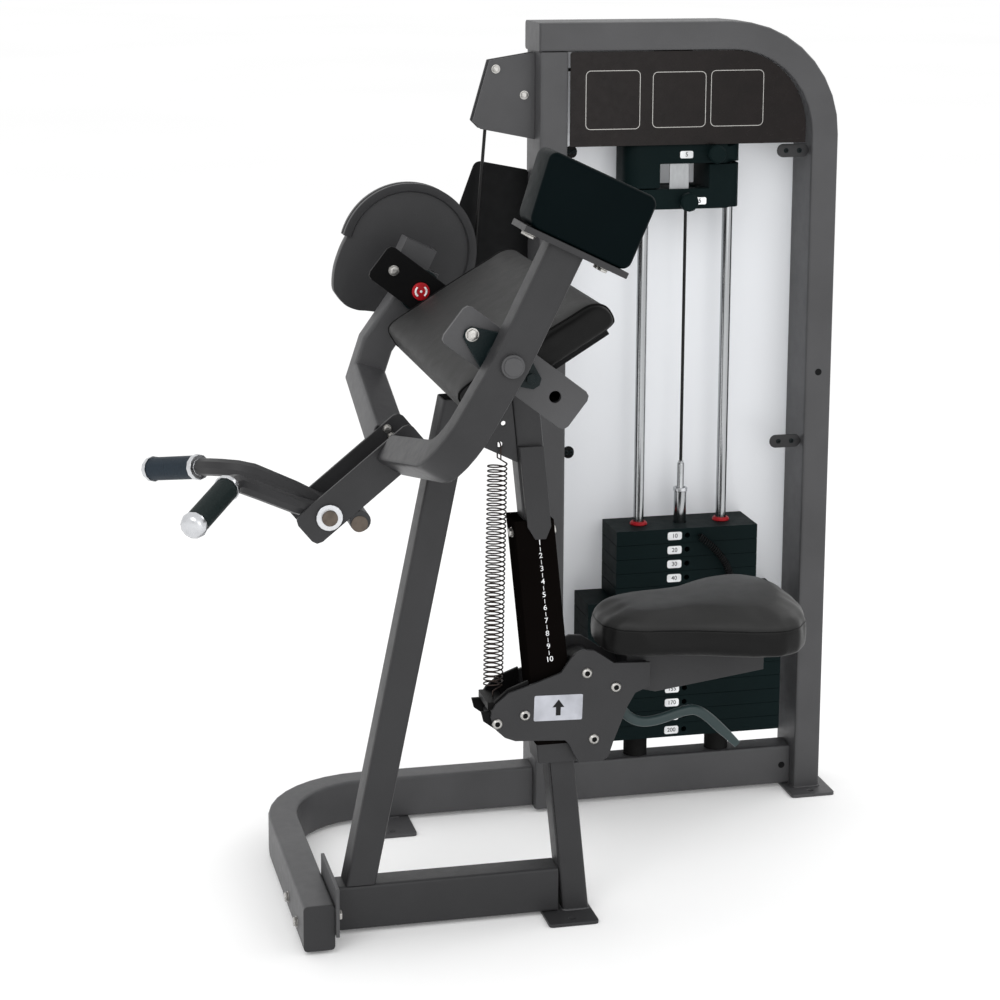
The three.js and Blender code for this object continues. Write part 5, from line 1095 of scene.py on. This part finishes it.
for number, (x, z, finish) in enumerate(BEARING_BOLTS):
    for label, y, out, size in BEARING_FACES:
        bolt("bearing_bolt_%s_%d" % (label, number), "frame", at(x, y, z), (0, out, 0), size, finish=finish)
for number, (across_arm, y) in enumerate(COUNTERWEIGHT_BOLTS):
    foot = on_arm(across_arm, y, COUNTERWEIGHT_FOOT)
    bolt("counterweight_bolt_%d" % number, "arms", foot, -ARM_ALONG, 7.0)
for number, (x, y, z, out, size) in enumerate(FRAME_BOLTS):
    bolt("frame_bolt_%d" % number, "frame", at(x, y, z), out, size)
for number, (x, z) in enumerate(CARRIER_BOLTS):
    bolt("carrier_bolt_%d" % number, "arms", at(x, CARRIER_FACE, z), TO_FRONT, 5.5)
for number, (x, z) in enumerate(CARRIAGE_BOLTS):
    for label, side in (("near", -1), ("far", 1)):
        point = at(x, CARRIAGE_FACE * side, z)
        bolt("carriage_bolt_%s_%d" % (label, number), "seat", point, (0, side, 0), 8.0, "socket")

LATCH_BACK = 440
LATCH_THICK = 4


def latch(name, finish, root, reach, low, high):
    """A small bracket on the inside of a post, with two screws."""
    middle = (low + high) / 2
    wide = abs(reach - root)
    tall = high - low
    face = facing(at((root + reach) / 2, LATCH_BACK, middle), TO_FRONT)
    plate(name, "frame", finish, rounded(wide, tall, min(wide, tall) * 0.48), 0, LATCH_THICK, face, 0.8)
    for number, share in enumerate((0.3, 0.72)):
        spot = at(root + (reach - root) * share, LATCH_BACK - LATCH_THICK, middle)
        bolt("%s_screw_%d" % (name, number), "frame", spot, TO_FRONT, 4.0, "socket", CAST_BLACK)


latch("latch_upper_right", PAINTED_SHADE_GREY, 558.2, 499, 1196, 1220)
latch("latch_lower_right", PAINTED_SHADE_GREY, 558.2, 499, 662, 686)
latch("latch_upper_left", BLACK_COAT, 107.8, 128, 1203, 1225)
latch("latch_lower_left", BLACK_COAT, 107.8, 128, 662, 684)


# Plugs, rings and caps

def ring(name, body, finish, profile, point, axis=TO_FRONT):
    """A turned piece standing on a face."""
    bm = bmesh.new()
    turned(bm, profile, 40)
    bmesh.ops.transform(bm, matrix=aim(axis, point), verts=bm.verts)
    put(name, bm, body, finish, crease=35)


PLUG = ((0, 0.5), (4.2, 0.5), (5.4, 0.9), (6.2, 0.4), (6.2, 0))
ROD_RING = ((10.4, 0), (15.5, 0), (16, 1.5), (15, 4), (12.5, 6), (10.8, 6), (10.4, 5), (10.4, 0))
PIVOT_CAP = ((0, 3.2), (12.5, 3.2), (13.5, 2.4), (14, 0.6), (16.4, 0.6), (17, 0))
AXIS_DISC = ((0, 1.6), (13.5, 1.6), (15, 1.0), (15.2, -2), (0, -2))
AXIS_DOT = ((0, 2.4), (1.8, 2.4), (2.2, 2.1), (2.2, 1.4))
AXIS_ARC_RADIUS = 9.4
BAR_END = ((0, 0.8), (13, 0.8), (13.4, 0))
STEM_NUT = ((9, 0), (12.4, 0), (13.2, 1), (13.2, 6), (12.4, 7), (9, 7), (9, 0))
RODS = (("left", 261), ("right", 419))
STACK_TOP = 523.2
AXIS_END = at(-181, 291.5, 1000)

for number, (x, y, z) in enumerate(((583, 420, 804), (542, 445.4, 44), (135, 445.4, 40))):
    ring("post_plug_%d" % number, "frame", BLACK_PLASTIC_AND_PAINTED_SHADE, PLUG, at(x, y, z))
for label, x in RODS:
    ring("rod_ring_" + label, "stack", RED_PLASTIC, ROD_RING, at(x, STACK_Y, STACK_TOP), UP)
ring("pivot_cap", "arms", FRAME_GREY, PIVOT_CAP, at(-181, -374, 1000))
ring("far_axis_disc", "arms", RED_PLASTIC, AXIS_DISC, AXIS_END)
for number, start in enumerate((-52, 128)):
    turns = [math.radians(start + 13 * step) for step in range(9)]
    arc = [at(AXIS_ARC_RADIUS * math.cos(turn), -1.7, AXIS_ARC_RADIUS * math.sin(turn)) for turn in turns]
    tube("far_axis_arc_%d" % number, "arms", WHITE_PRINT, [AXIS_END + spot for spot in arc], 1.7, 8)
ring("far_axis_dot", "arms", WHITE_PRINT, AXIS_DOT, AXIS_END)
ring("carrier_bar_end", "arms", BRONZE, BAR_END, at(-347, -43, 692))
ring("stem_nut", "stack", ALLOY, STEM_NUT, at(STACK_X, STACK_Y, 582), UP)


# Numbers and labels

RAIL_FACE = -30.4
RAIL_LEAN = (-0.1045, 0, 0.9945)
RAIL_SLOPE_SHARE = 0.0919
RAIL_FIRST = (-53, 641.2)
RAIL_STEP = 21.8
RAIL_HOLES = 10
MARK_ASIDE = 1.1

for index in range(RAIL_HOLES):
    down = RAIL_STEP * index
    x = RAIL_FIRST[0] + down * RAIL_SLOPE_SHARE
    z = RAIL_FIRST[1] - down
    face = facing(at(x, RAIL_FACE, z), TO_FRONT, RAIL_LEAN)
    words("rail_number_%d" % (index + 1), "frame", WHITE_PRINT, str(index + 1), 9.0, face)
    if index < RAIL_HOLES - 1:
        face = facing(at(x + MARK_ASIDE, RAIL_FACE, z - RAIL_STEP / 2), TO_FRONT, RAIL_LEAN)
        outline = rounded(0.9, 7.2, 0.4, 2)
        plate("rail_mark_%d" % (index + 1), "frame", WHITE_PRINT, outline, 0.1, 0.25, face, 0)


def number_label(name, kind, body, text, tall, size, face):
    """A white label with a number."""
    plate("%s_label_%s" % (kind, name), body, WHITE_PRINT, rounded(*size), 0.05, 0.45, face, 0.15)
    words("%s_number_%s" % (kind, name), body, BLACK_PRINT, text, tall, face, 0.55, 0.12)


WEIGHTS = (10, 20, 30, 40, 50, 65, 80, 95, 110, 125, 140, 155, 170, 185, 200)
LIFTED = 7
PLATE_FACE = 422.3
PLATE_LABEL = (316, 510.1)
PLATE_STEP = 26.5
ADD_ON_FACE = 425.8
ADD_ON_LABELS = (("upper", "frame", 326, 1206), ("lower", "add_on_lower", 352, 1123))

for index, weight in enumerate(WEIGHTS):
    x, z = PLATE_LABEL
    face = facing(at(x, PLATE_FACE, z - PLATE_STEP * index), TO_FRONT)
    body = "stack" if index < LIFTED else "frame"
    number_label(str(weight), "weight", body, str(weight), 7.8, (27, 15, 4), face)
for name, body, x, z in ADD_ON_LABELS:
    number_label(name, "add_on", body, "5", 7.5, (24, 13, 3), facing(at(x, ADD_ON_FACE, z), TO_FRONT))

CARRIAGE_ARROW = ((-4, -13), (4, -13), (4, 1), (10, 1), (0, 14), (-10, 1), (-4, 1))

face = facing(at(-23.5, -CARRIAGE_FACE, 367), TO_FRONT, (0.03, 0, 1))
plate("carriage_label", "seat", SILVER_FOIL, rounded(81, 43, 2.5), 0.05, 0.5, face, 0.15)
plate("carriage_arrow", "seat", BLACK_PRINT, CARRIAGE_ARROW, 0.6, 0.15, face, 0)

PLACARD_FACE = 421
PLACARD_FRAMES = ((188, 1305, 99, 103), (309, 1304, 98, 98), (416, 1305, 98, 99))

for number, (x, z, wide, tall) in enumerate(PLACARD_FRAMES):
    bm = bmesh.new()
    outer = [bm.verts.new((u * MM, v * MM, 0.3 * MM)) for u, v in rounded(wide, tall, 9)]
    inner = [bm.verts.new((u * MM, v * MM, 0.3 * MM)) for u, v in rounded(wide - 2, tall - 2, 8)]
    made = bmesh.ops.bridge_loops(bm, edges=rim_edges(bm, outer) + rim_edges(bm, inner))
    bmesh.ops.solidify(bm, geom=made["faces"], thickness=0.25 * MM)
    bmesh.ops.transform(bm, matrix=facing(at(x, PLACARD_FACE, z), TO_FRONT), verts=bm.verts)
    put("placard_frame_%d" % number, bm, "frame", STEEL)


# Weld beads

WELD_LIFT = 0.6
WELD_RIPPLE = 0.35
WELD_STEP = 2.2


def weld(name, x, y, z, wide, tall):
    """A rippled bead round a tube's foot."""
    outline = rounded(wide + 0.6, tall + 0.6, 6, 3)
    line = []
    for index, start in enumerate(outline):
        end = outline[(index + 1) % len(outline)]
        steps = max(1, int(math.dist(start, end) / WELD_STEP))
        for step in range(steps):
            ripple = WELD_RIPPLE * math.sin(len(line) * 1.7)
            spot = Vector((*start, 0)).lerp(Vector((*end, 0)), step / steps)
            line.append(at(x, y, z + WELD_LIFT + ripple) + spot * MM)
    tube(name, "frame", FRAME_GREY, line, 2.1, 6, True)


weld("weld_right_post", 583.6, STACK_Y, 6, 50.8, 101.6)
weld("weld_column_foot", 15.4, 0, 6, 45, 50.8)
